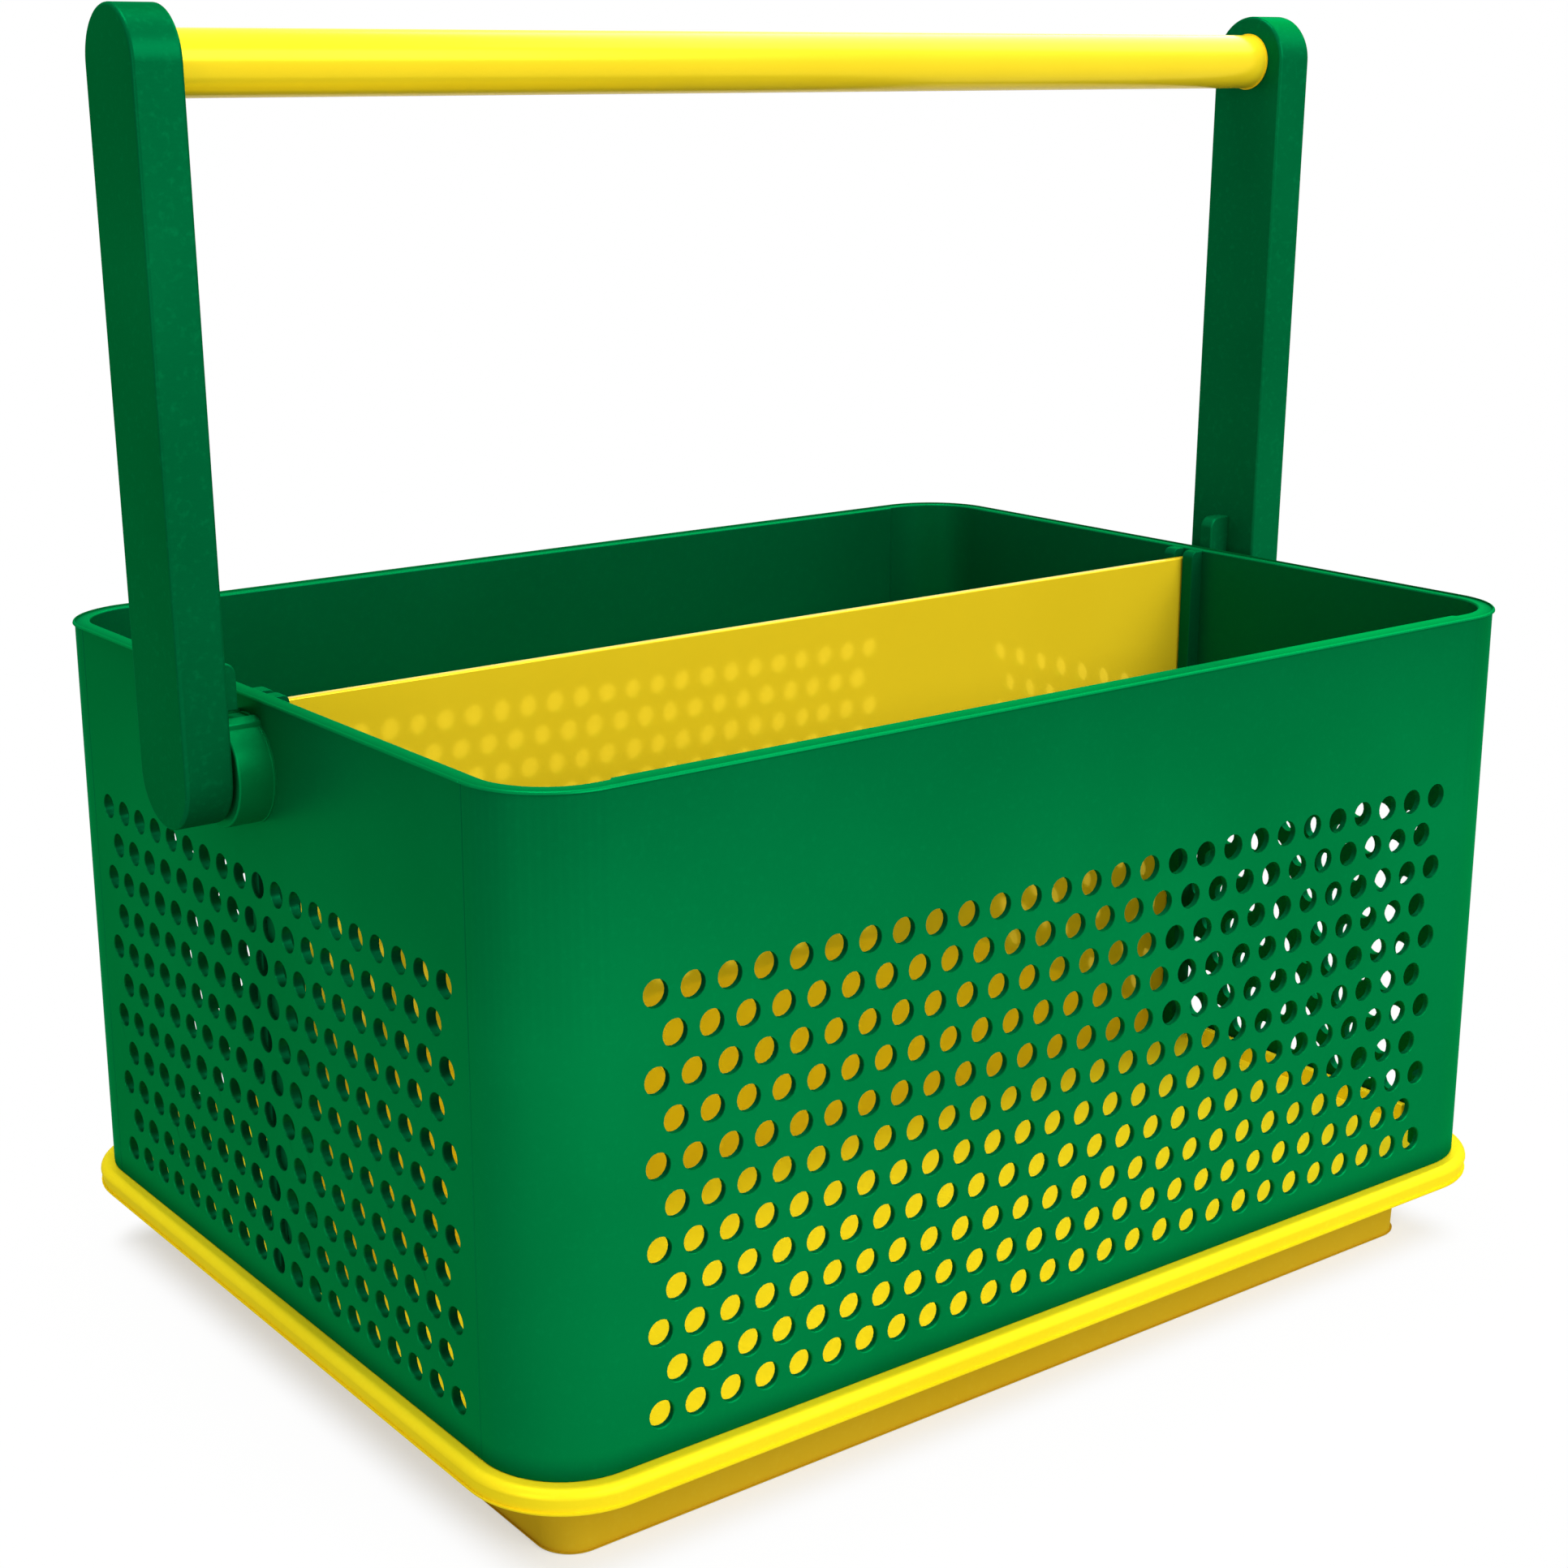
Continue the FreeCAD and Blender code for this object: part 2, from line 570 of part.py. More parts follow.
def build_arm(side):
    arm = start_body("handle_arm_" + side)
    grip_height = PIVOT_HEIGHT + " + " + size("arm_reach")
    blade = start_sketch(arm, "blade_outline", "YZ_Plane", ARM_FACE)
    slot(blade, PIVOT_HEIGHT, grip_height, size("arm_width / 2"))
    grow(arm, blade, "blade", size("arm_thickness"))
    outer_face = number(ARM_FACE + " + " + size("arm_thickness"))
    dress(arm, "Chamfer", "blade_edge", size("arm_chamfer"),
          lambda edge: abs(edge.BoundBox.XMin - outer_face) < 0.01)

    # The key stands in the slot of the hub when the handle is upright.
    key_low = PIVOT_HEIGHT + " + " + size("lip_radius + key_lip_gap")
    key_high = key_low + " + " + size("key_height")
    key_face = HALF_LENGTH + " + " + size("key_wall_gap")
    key = start_sketch(arm, "key_outline", "XZ_Plane")
    rectangle(key, key_face, key_low, ARM_FACE + " + " + size("arm_thickness / 2"), key_high)
    grow(arm, key, "key", size("key_width"), both_ways=True)
    top, face = number(key_high), number(key_face)
    dress(arm, "Fillet", "key_corner", size("key_round"),
          lambda edge: at_height(edge, top) and abs(edge.BoundBox.XMax - face) < 0.01)

    # Spigot for the grip tube, and the blind bore for the threaded insert.
    spigot = start_sketch(arm, "spigot_outline", "YZ_Plane", ARM_FACE)
    circle(spigot, "0", grip_height, size("grip_radius - grip_wall - spigot_gap"))
    grow(arm, spigot, "spigot", size("spigot_length"), reverse=True)
    bore = start_sketch(arm, "insert_bore_outline", "YZ_Plane", ARM_FACE)
    hexagon(bore, PIVOT_HEIGHT, size("insert_across + 2 * insert_gap"))
    cut(arm, bore, "insert_bore", size("insert_length + insert_spare"), reverse=True)
    set_side(arm, side)
    return arm


def build_grip_tube():
    grip = start_body("grip_tube")
    ring = start_sketch(grip, "grip_outline", "YZ_Plane")
    grip_height = PIVOT_HEIGHT + " + " + size("arm_reach")
    circle(ring, "0", grip_height, size("grip_radius"))
    circle(ring, "0", grip_height, size("grip_radius - grip_wall"))
    grow(grip, ring, "tube", "2 * (" + ARM_FACE + ")", both_ways=True)
    return grip


# ---- Pivot hardware, one set at each end ----

def turned_piece(name, side, profile):
    """A piece turned about the pivot axis from corners of place along it and radius."""
    body = start_body(name + "_" + side)
    outline = start_sketch(body, name + "_profile", "XZ_Plane")
    polygon(outline, profile)
    turn(body, outline, name + "_turned", "H_Axis")
    set_side(body, side)
    body.setExpression(".Placement.Base.z", PIVOT_HEIGHT)
    doc.recompute()
    return body


def build_pivot_screw(side):
    shoulder, thread = size("shoulder_radius"), size("pivot_thread_radius")
    tip = ARM_FACE + " + " + size("pivot_thread_length")
    return turned_piece("pivot_screw", side, [
        (WASHER_FACE, "0"), (tip, "0"), (tip, thread), (ARM_FACE, thread), (ARM_FACE, shoulder),
        (WASHER_FACE, shoulder)])


def build_head_washer(side):
    inner, outer = size("washer_bore"), size("shoulder_radius")
    floor = BORE_FLOOR + " + " + size("running_gap")
    return turned_piece("head_washer", side, [
        (floor, inner), (WASHER_FACE, inner), (WASHER_FACE, outer), (floor, outer)])


def build_pivot_bush(side):
    inner = size("shoulder_radius + running_gap")
    sleeve = size("shoulder_radius + running_gap + bush_wall")
    flange = size("bush_flange_radius")
    return turned_piece("pivot_bush", side, [
        (BORE_FLOOR, inner), (BUSH_FACE, inner), (BUSH_FACE, flange), (HUB_FACE, flange),
        (HUB_FACE, sleeve), (BORE_FLOOR, sleeve)])


def build_thread_insert(side):
    insert = start_body("thread_insert_" + side)
    outline = start_sketch(insert, "insert_outline", "YZ_Plane", ARM_FACE)
    hexagon(outline, PIVOT_HEIGHT, size("insert_across"))
    circle(outline, "0", PIVOT_HEIGHT, size("pivot_thread_radius + running_gap"))
    grow(insert, outline, "insert", size("insert_length"))
    set_side(insert, side)
    return insert


pieces = [build_tub(), build_base(), build_base_screws(), build_divider(), build_grip_tube()]
for end in ("left", "right"):
    pieces.append(build_arm(end))
    pieces.append(build_pivot_screw(end))
    pieces.append(build_head_washer(end))
    pieces.append(build_pivot_bush(end))
    pieces.append(build_thread_insert(end))
doc.recompute()

for item in doc.Objects:
    if "Invalid" in item.State or "Error" in item.State:
        raise ValueError(item.Name + " did not build")
for piece in pieces:
    if piece.Shape.isNull() or not piece.Shape.isValid():
        raise ValueError(piece.Label + " has no valid shape")

os.makedirs("parts", exist_ok=True)
for piece in pieces:
    piece.Shape.exportStep("parts/" + piece.Label + ".step")
    box = piece.Shape.BoundBox
    print("%-18s %d solid(s)  %.1f cm3  z %.1f to %.1f" % (
        piece.Label, len(piece.Shape.Solids), piece.Shape.Volume / 1000, box.ZMin, box.ZMax))
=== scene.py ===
import math

import bmesh
import bpy
from mathutils import Matrix, Vector


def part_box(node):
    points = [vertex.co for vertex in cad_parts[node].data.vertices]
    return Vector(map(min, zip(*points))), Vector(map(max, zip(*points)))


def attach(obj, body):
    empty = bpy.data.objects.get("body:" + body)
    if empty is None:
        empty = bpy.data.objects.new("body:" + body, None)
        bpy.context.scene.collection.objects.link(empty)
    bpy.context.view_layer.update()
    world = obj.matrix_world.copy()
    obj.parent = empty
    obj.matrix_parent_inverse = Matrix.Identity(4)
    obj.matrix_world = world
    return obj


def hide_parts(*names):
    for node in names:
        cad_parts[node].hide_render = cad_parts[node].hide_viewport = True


# Housekeeping caddy: a perforated green tub on a yellow base, a yellow divider, and a carrying handle
# that swings on two pivots. Pieces are drawn in millimetres and turned into metres when finished.
# X runs along the long walls, Y from the front wall to the back wall, and Z is up.

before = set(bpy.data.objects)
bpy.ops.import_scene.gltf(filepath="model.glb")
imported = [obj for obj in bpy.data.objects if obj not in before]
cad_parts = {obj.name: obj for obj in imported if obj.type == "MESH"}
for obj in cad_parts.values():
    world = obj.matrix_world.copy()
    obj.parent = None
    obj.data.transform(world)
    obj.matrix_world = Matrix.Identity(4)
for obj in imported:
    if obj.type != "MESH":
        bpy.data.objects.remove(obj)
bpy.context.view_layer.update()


# ---- Tub ----
# One green injection moulding, open above and below: rounded corners, a thicker band round the top,
# round perforations in every wall, a pivot hub on each end wall, two ribs inside each end wall that
# hold the divider, and a screw boss in each corner.

def node_box(node):
    """A CAD node's lowest and highest corners, in millimetres."""
    low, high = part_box(node)
    return low * 1000, high * 1000


tub_low, tub_high = node_box("tub")
hub_depth = 8.4
half_length = tub_high.x - hub_depth
half_width = tub_high.y
corner_radius = 21.0
corner_wall = 2.8
panel_wall = 2.0
band_wall = 5.4
band_end_wall = 4.4
band_depth = 36.0
band_bottom = tub_high.z - band_depth
band_edge = 0.5
rim_round = 0.6
foot_round = 0.4
groove_place = 0.7
groove_half = 0.3
groove_depth = 0.28
step_start = 3.0
step_end = 4.0
corner_facets = 16
merge_distance = 0.002


def outline(half_x, half_y, radius, corner=0.0, long_wall=0.0, end_wall=0.0, groove=0.0):
    """A rounded rectangle seen from above, each stretch of it set in by its own amount. Beside each
    corner a wall slants to the inset of its straight part, and an end wall has a fine groove first."""
    points = []
    for turn in range(4):
        quarter = turn * math.pi / 2
        side_x = 1 if turn in (0, 3) else -1
        side_y = 1 if turn in (0, 1) else -1
        centre = Vector((side_x * (half_x - radius), side_y * (half_y - radius)))
        for step in range(corner_facets + 1):
            angle = quarter + step * math.pi / 2 / corner_facets
            points.append(centre + (radius - corner) * Vector((math.cos(angle), math.sin(angle))))
        long_side = turn in (0, 2)
        along = Vector((-side_x, 0)) if long_side else Vector((0, -side_y))
        inward = Vector((0, -side_y)) if long_side else Vector((-side_x, 0))
        inset = long_wall if long_side else end_wall
        length = 2 * ((half_x if long_side else half_y) - radius)
        start = centre - inward * radius
        groove_floor = corner + (0 if long_side else groove)
        marks = [(groove_place - groove_half, corner), (groove_place, groove_floor),
                 (groove_place + groove_half, corner), (step_start, corner), (step_end, inset)]
        for reach, depth in marks + [(length - reach, depth) for reach, depth in reversed(marks)]:
            points.append(start + along * reach + inward * depth)
    return points


def arc_steps(radius, steps=3):
    """The places (along, across) of a rounded edge, from one face round to the other."""
    turns = [step * math.pi / 2 / steps for step in range(steps + 1)]
    return [(radius * (1 - math.sin(turn)), radius * (1 - math.cos(turn))) for turn in turns]


def loft(rings, back_to_start=False):
    """A closed solid through rings of equally many points. It ends in flat caps, or comes back to its
    first ring."""
    builder = bmesh.new()
    rows = [[builder.verts.new(point) for point in ring] for ring in rings]
    count = len(rows[0])
    for row, after in zip(rows, rows[1:] + (rows[:1] if back_to_start else [])):
        for place in range(count):
            beside = (place + 1) % count
            builder.faces.new((row[place], row[beside], after[beside], after[place]))
    if not back_to_start:
        builder.faces.new(rows[0])
        builder.faces.new(rows[-1])
    return builder


def as_mesh(builder, name):
    """The mesh of a bmesh, with doubled points merged and its faces all turned to one side. For the
    tub's shell and the grip tube that side is the inside, which is a known fault."""
    bmesh.ops.remove_doubles(builder, verts=builder.verts, dist=merge_distance)
    bmesh.ops.recalc_face_normals(builder, faces=builder.faces)
    mesh = bpy.data.meshes.new(name)
    builder.to_mesh(mesh)
    builder.free()
    return mesh


def as_object(builder, name):
    """An object with a solid's mesh, kept out of the scene until it is finished or used up."""
    return bpy.data.objects.new(name, as_mesh(builder, name))


def tub_ring(height, corner, long_wall, end_wall, groove=0.0):
    """One level ring of the tub's skin."""
    ring = outline(half_length, half_width, corner_radius, corner, long_wall, end_wall, groove)
    return [(point.x, point.y, height) for point in ring]


def tub_skin():
    """The tub's rings, from the foot up the outside, over the rim, and down inside past the band."""
    rings = []
    for inward, upward in arc_steps(foot_round):
        rings.append(tub_ring(tub_low.z + upward, inward, inward, inward, groove_depth))
    for upward, inward in reversed(arc_steps(rim_round)):
        rings.append(tub_ring(tub_high.z - upward, inward, inward, inward, groove_depth))
    for inward, upward in arc_steps(rim_round):
        rings.append(tub_ring(tub_high.z - upward, band_end_wall - inward, band_wall - inward,
                              band_end_wall - inward))
    rings.append(tub_ring(band_bottom + band_edge, band_end_wall, band_wall, band_end_wall))
    rings.append(tub_ring(band_bottom, band_end_wall - band_edge, band_wall - band_edge,
                          band_end_wall - band_edge))
    rings.append(tub_ring(band_bottom, corner_wall, panel_wall, corner_wall))
    for upward, inward in reversed(arc_steps(foot_round)):
        rings.append(tub_ring(tub_low.z + upward, corner_wall - inward, panel_wall - inward,
                              corner_wall - inward))
    return rings


tub = as_object(loft(tub_skin(), back_to_start=True), "tub_shell")

# Hubs: turned shapes on the pivot axis, with a small fillet at the foot, and two lips on top with a
# slot between them.
pivot_drop = 17.0
pivot_height = tub_high.z - pivot_drop
hub_radius = 12.5
hub_fillet = 0.2
hub_edge = 0.5
lip_start = 3.8
lip_width = 2.5
lip_radius = 13.6
lip_setback = 0.15
lip_edge = 0.45
slot_radius = 12.0
slot_back = half_length + 0.01
lathe_facets = 64
bevel_angle = math.radians(35)

# Solids to be joined reach into each other, and a cutter runs out past the face that it cuts.
wall_overlap = 1.4
face_offset = 0.05
overrun = 1.0


def lathe(profile, facets=lathe_facets, height=pivot_height):
    """A solid turned about a long axis at a height, from (place along the axis, radius) pairs. A
    profile that starts and ends on the axis is closed by points there. Any other comes back to its
    start."""
    builder = bmesh.new()
    turns = [step * 2 * math.pi / facets for step in range(facets)]
    rows = []
    for along, radius in profile:
        if radius == 0:
            rows.append([builder.verts.new((along, 0, height))] * facets)
            continue
        circle = [(along, radius * math.cos(turn), height + radius * math.sin(turn)) for turn in turns]
        rows.append([builder.verts.new(point) for point in circle])
    hollow = profile[0][1] > 0
    for row, after in zip(rows, rows[1:] + (rows[:1] if hollow else [])):
        for place in range(facets):
            beside = (place + 1) % facets
            corners = [row[place], row[beside], after[beside], after[place]]
            builder.faces.new(list(dict.fromkeys(corners)))
    return builder


def prism(points, axis, low, high, edge=0.0, steps=2):
    """A straight solid on an outline across one axis, its sharp edges rounded by edge."""
    def corner(first, second, end):
        return {"x": (end, first, second), "y": (first, end, second), "z": (first, second, end)}[axis]

    builder = bmesh.new()
    ends = [[builder.verts.new(corner(*point, end)) for point in points] for end in (low, high)]
    builder.faces.new(ends[0])
    builder.faces.new(ends[1])
    for place in range(len(points)):
        beside = (place + 1) % len(points)
        builder.faces.new((ends[0][place], ends[0][beside], ends[1][beside], ends[1][place]))
    bmesh.ops.recalc_face_normals(builder, faces=builder.faces)
    if edge:
        sharp = [line for line in builder.edges if line.calc_face_angle() > bevel_angle]
        bmesh.ops.bevel(builder, geom=sharp, offset=edge, segments=steps, profile=0.5, affect="EDGES")
    return builder


def block(low, high, edge=0.0, steps=2):
    """A straight block between two corners, its edges rounded by edge."""
    corners = [(low[0], low[1]), (high[0], low[1]), (high[0], high[1]), (low[0], high[1])]
    return prism(corners, "z", low[2], high[2], edge, steps)


def joined(*builders):
    """One bmesh that holds the solids of several, which don't touch each other."""
    whole = bmesh.new()
    for builder in builders:
        part = as_mesh(builder, "part")
        whole.from_mesh(part)
        bpy.data.meshes.remove(part)
    return whole


def turned(builder, angle):
    """The same solid turned about the middle of the caddy."""
    turn = Matrix.Rotation(angle, 3, "Z")
    bmesh.ops.rotate(builder, verts=builder.verts, cent=(0, 0, 0), matrix=turn)
    return builder


def at_both_ends(make):
    """A solid drawn at the right-hand end, and the same solid turned to the left-hand end."""
    return joined(make(), turned(make(), math.pi))


def in_pairs(make):
    """A solid drawn on each side of the middle at the right-hand end, and the same at the left."""
    return joined(make(1), make(-1), turned(make(1), math.pi), turned(make(-1), math.pi))


def hub():
    """The round hub that an arm swings on, rooted in the end wall."""
    wall_face = half_length - face_offset
    foot = [(half_length - wall_overlap, 0), (half_length - wall_overlap, hub_radius + hub_fillet)]
    fillet = [(wall_face + across, hub_radius + along) for along, across in arc_steps(hub_fillet, 2)]
    end = [(tub_high.x - along, hub_radius - across) for along, across in arc_steps(hub_edge, 4)]
    return lathe(foot + fillet + end + [(tub_high.x, 0)])


def lip(side):
    """A raised lip on top of the hub, beside the slot."""
    near, far = lip_start, lip_start + lip_width
    points = [(side * near, pivot_height), (side * far, pivot_height),
              (side * far, pivot_height + math.sqrt(lip_radius ** 2 - far ** 2)),
              (side * near, pivot_height + math.sqrt(lip_radius ** 2 - near ** 2))]
    return prism(points, "x", half_length - wall_overlap, tub_high.x - lip_setback, lip_edge, steps=3)


def hub_slot():
    """The flat floor between the lips, cut down into the hub's round top."""
    low = (slot_back, -lip_start, pivot_height + slot_radius)
    return block(low, (tub_high.x + overrun, lip_start, pivot_height + hub_radius + overrun))


# Ribs for the divider, rounded at the top, and screw bosses with blind pilot holes.
divider_low, divider_high = node_box("divider")
divider_play = 0.4
rib_gap = divider_high.y + divider_play
rib_width = 4.0
rib_depth = 4.0
rib_face = half_length - band_end_wall - rib_depth
rib_drop = 0.3
rib_top = tub_high.z - rib_drop
rib_round = 1.8
rib_edge = 0.35
boss_radius = 4.5
boss_height = 20.0
boss_edge = 0.4
boss_cap = 6.0
pilot_radius = 1.85
boss_overlap = 0.27
boss_reach = (corner_radius - corner_wall - boss_radius + boss_overlap) / math.sqrt(2) - corner_radius
boss_x = half_length + boss_reach
boss_y = half_width + boss_reach


def rib(side):
    """A rib that stands beside the divider, inside the end wall."""
    foot, back = tub_low.z + face_offset, half_length - wall_overlap
    near = side * (rib_gap + rib_width / 2) - rib_width / 2
    top = [(rib_face + along, rib_top - across) for along, across in arc_steps(rib_round, 5)]
    points = [(back, foot), (back, rib_top)] + top + [(rib_face, foot)]
    return prism(points, "y", near, near + rib_width, rib_edge)


def upright(x, y, low, high, radius, edge=0.0, facets=32):
    """A round post or hole between two heights, its top cut back all round by edge."""
    turns = [step * 2 * math.pi / facets for step in range(facets)]
    rings = [[(x + size * math.cos(turn), y + size * math.sin(turn), level) for turn in turns]
             for level, size in ((low, radius), (high - edge, radius), (high, radius - edge))]
    return loft(rings)


def at_four_corners(make):
    return joined(*[make(side_x * boss_x, side_y * boss_y) for side_x in (1, -1) for side_y in (1, -1)])


def boss(x, y):
    return upright(x, y, tub_low.z, tub_low.z + boss_height, boss_radius, boss_edge)


def pilot_hole(x, y):
    return upright(x, y, tub_low.z - overrun, tub_low.z + boss_height - boss_cap, pilot_radius)


bore_radius = 5.1
bore_backing = 3.0
bore_floor = half_length - band_end_wall + bore_backing
bore_chamfer = 0.4
bore_past = 0.1


def pivot_bore():
    """A blind bore for a bush, from the face of a hub, with a chamfered mouth."""
    mouth = tub_high.x + bore_past
    return lathe([(bore_floor, 0), (bore_floor, bore_radius), (tub_high.x - bore_chamfer, bore_radius),
                  (mouth, bore_radius + bore_chamfer + bore_past), (mouth, 0)])


def shape_by(piece, operation, builder, name):
    """Add a solid to a piece, or cut it from the piece."""
    modifier = piece.modifiers.new(name, "BOOLEAN")
    modifier.operation = operation
    modifier.solver = "MANIFOLD"
    modifier.object = as_object(builder, name)


def add_solid(piece, builder, name):
    shape_by(piece, "UNION", builder, name)


def cut_solid(piece, builder, name):
    shape_by(piece, "DIFFERENCE", builder, name)


def add_node(tree, kind, inputs=None, **settings):
    """A node with its settings made, and its inputs linked or filled in by name or place."""
    node = tree.nodes.new(kind)
    for name, value in settings.items():
        setattr(node, name, value)
    for name, value in (inputs or {}).items():
        if isinstance(value, bpy.types.NodeSocket):
            tree.links.new(value, node.inputs[name])
        else:
            node.inputs[name].default_value = value
    return node


def math_node(tree, operation, first, second=0.0):
    return add_node(tree, "ShaderNodeMath", {0: first, 1: second}, operation=operation).outputs[0]


def vector_node(tree, operation, first, second=(0.0, 0.0, 0.0)):
    return add_node(tree, "ShaderNodeVectorMath", {0: first, 1: second}, operation=operation).outputs


def height_of(tree, place):
    return add_node(tree, "ShaderNodeSeparateXYZ", {0: place}).outputs["Z"]


def add_inputs(tree, sizes):
    """Named inputs for a Geometry Nodes tree, after its mesh."""
    tree.interface.new_socket("Mesh", in_out="INPUT", socket_type="NodeSocketGeometry")
    for name, kind in sizes.items():
        tree.interface.new_socket(name, in_out="INPUT", socket_type="NodeSocket" + kind)
    tree.interface.new_socket("Mesh", in_out="OUTPUT", socket_type="NodeSocketGeometry")
    return tree.nodes.new("NodeGroupInput").outputs


def set_output(tree, node, kind="ShaderNodeOutputMaterial"):
    """Make a node's result what its tree gives."""
    tree.links.new(node.outputs[0], tree.nodes.new(kind).inputs[0])


def close_tree(tree, geometry, material):
    """The end that every tree has: real meshes, in one material."""
    real = add_node(tree, "GeometryNodeRealizeInstances", {"Geometry": geometry})
    finish = add_node(tree, "GeometryNodeSetMaterial", {
        "Geometry": real.outputs[0], "Material": material})
    set_output(tree, finish, "NodeGroupOutput")


def add_tree(piece, tree, values):
    """Run a tree on a piece, with its named inputs filled in by their sockets' identifiers."""
    modifier = piece.modifiers.new(tree.name, "NODES")
    modifier.node_group = tree
    for item in tree.interface.items_tree:
        if item.in_out == "INPUT" and item.name in values:
            modifier[item.identifier] = values[item.name]


def perforation_tree():
    """Cuts a staggered pattern of round holes into four walls. The odd rows have one hole more than
    the even rows, and each hole has a small chamfer on the outside."""
    tree = bpy.data.node_groups.new("perforations", "GeometryNodeTree")
    given = add_inputs(tree, {
        "Hole Radius": "Float", "Chamfer": "Float", "Hole Pitch": "Float", "Row Pitch": "Float",
        "Rows": "Int", "Long Columns": "Int", "End Columns": "Int", "Middle Height": "Float",
        "Half Length": "Float", "Half Width": "Float", "Facets": "Int", "Material": "Material"})

    # The cutter: straight below, and widened above so that it takes a chamfer off the outer face.
    reach = 12.0
    past = 0.2
    straight = add_node(tree, "GeometryNodeMeshCylinder", {
        "Vertices": given["Facets"], "Side Segments": 2, "Radius": given["Hole Radius"],
        "Depth": 2 * reach})
    place = tree.nodes.new("GeometryNodeInputPosition").outputs[0]
    above = add_node(tree, "FunctionNodeCompare", {0: height_of(tree, place), 1: reach / 2},
                     operation="GREATER_THAN").outputs[0]
    rise = math_node(tree, "ADD", given["Chamfer"], past)
    wide = math_node(tree, "ADD", given["Hole Radius"], rise)
    wider = math_node(tree, "DIVIDE", wide, given["Hole Radius"])
    lower = math_node(tree, "DIVIDE", rise, reach)
    flare = add_node(tree, "ShaderNodeCombineXYZ", {0: wider, 1: wider, 2: lower}).outputs[0]
    cutter = add_node(tree, "GeometryNodeSetPosition", {
        "Geometry": straight.outputs["Mesh"], "Selection": above,
        "Position": vector_node(tree, "MULTIPLY", place, flare)[0]}).outputs[0]

    def rows_of(columns, fewer, rows):
        """Every second row of the pattern, centred on its middle."""
        count = math_node(tree, "SUBTRACT", columns, fewer)
        across = math_node(tree, "MULTIPLY", math_node(tree, "SUBTRACT", count, 1), given["Hole Pitch"])
        up = math_node(tree, "MULTIPLY", math_node(tree, "SUBTRACT", rows, 1), given["Row Pitch"])
        return add_node(tree, "GeometryNodeMeshGrid", {
            "Size X": across, "Size Y": math_node(tree, "MULTIPLY", up, 2), "Vertices X": count,
            "Vertices Y": rows}).outputs["Mesh"]

    odd_rows = math_node(tree, "CEIL", math_node(tree, "DIVIDE", given["Rows"], 2))
    even_rows = math_node(tree, "FLOOR", math_node(tree, "DIVIDE", given["Rows"], 2))
    walls = tree.nodes.new("GeometryNodeJoinGeometry")
    for columns, half_size, angles in (("Long Columns", "Half Width", (0, math.pi)),
                                       ("End Columns", "Half Length", (math.pi / 2, -math.pi / 2))):
        pattern = tree.nodes.new("GeometryNodeJoinGeometry")
        tree.links.new(rows_of(given[columns], 0, odd_rows), pattern.inputs[0])
        tree.links.new(rows_of(given[columns], 1, even_rows), pattern.inputs[0])
        holes = add_node(tree, "GeometryNodeInstanceOnPoints", {
            "Points": pattern.outputs[0], "Instance": cutter}).outputs[0]
        out = math_node(tree, "SUBTRACT", given["Chamfer"], given[half_size])
        stand = add_node(tree, "ShaderNodeCombineXYZ", {1: out, 2: given["Middle Height"]}).outputs[0]
        upright_wall = add_node(tree, "GeometryNodeTransform", {
            "Geometry": holes, "Rotation": (math.pi / 2, 0, 0), "Translation": stand}).outputs[0]
        for angle in angles:
            wall = add_node(tree, "GeometryNodeTransform", {
                "Geometry": upright_wall, "Rotation": (0, 0, angle)}).outputs[0]
            tree.links.new(wall, walls.inputs[0])
    cutters = add_node(tree, "GeometryNodeRealizeInstances", {"Geometry": walls.outputs[0]}).outputs[0]
    cut = add_node(tree, "GeometryNodeMeshBoolean", {"Mesh 1": given["Mesh"], "Mesh 2": cutters},
                   operation="DIFFERENCE", solver="MANIFOLD").outputs["Mesh"]
    close_tree(tree, cut, given["Material"])
    return tree


def paint(red, green, blue):
    """A display colour, 0 to 255 a channel, as the shader's linear colour."""
    linear = [((part / 255 + 0.055) / 1.055) ** 2.4 if part > 10 else part / 255 / 12.92
              for part in (red, green, blue)]
    return (*linear, 1.0)


def new_material(name):
    """A material with no nodes yet, its tree, and the place on a piece that its patterns go by."""
    material = bpy.data.materials.new(name)
    material.use_nodes = True
    tree = material.node_tree
    tree.nodes.clear()
    return material, tree, tree.nodes.new("ShaderNodeTexCoord").outputs["Object"]


def noise(tree, place, scale, detail):
    return add_node(tree, "ShaderNodeTexNoise", {
        "Vector": place, "Scale": scale, "Detail": detail}).outputs[0]


def ramp(tree, value, start, end, low=0.0, high=1.0, kind="LINEAR"):
    """low where a value is at start or short of it, high at end and past it, and a blend between."""
    return add_node(tree, "ShaderNodeMapRange", {
        "Value": value, "From Min": start, "From Max": end, "To Min": low, "To Max": high},
        interpolation_type=kind).outputs[0]


def mix_colours(tree, share, first, second, kind="MIX"):
    return add_node(tree, "ShaderNodeMix", {0: share, 6: first, 7: second}, data_type="RGBA",
                    blend_type=kind).outputs[2]


def bump(tree, height, strength, distance):
    return add_node(tree, "ShaderNodeBump", {
        "Strength": strength, "Distance": distance, "Height": height}).outputs[0]


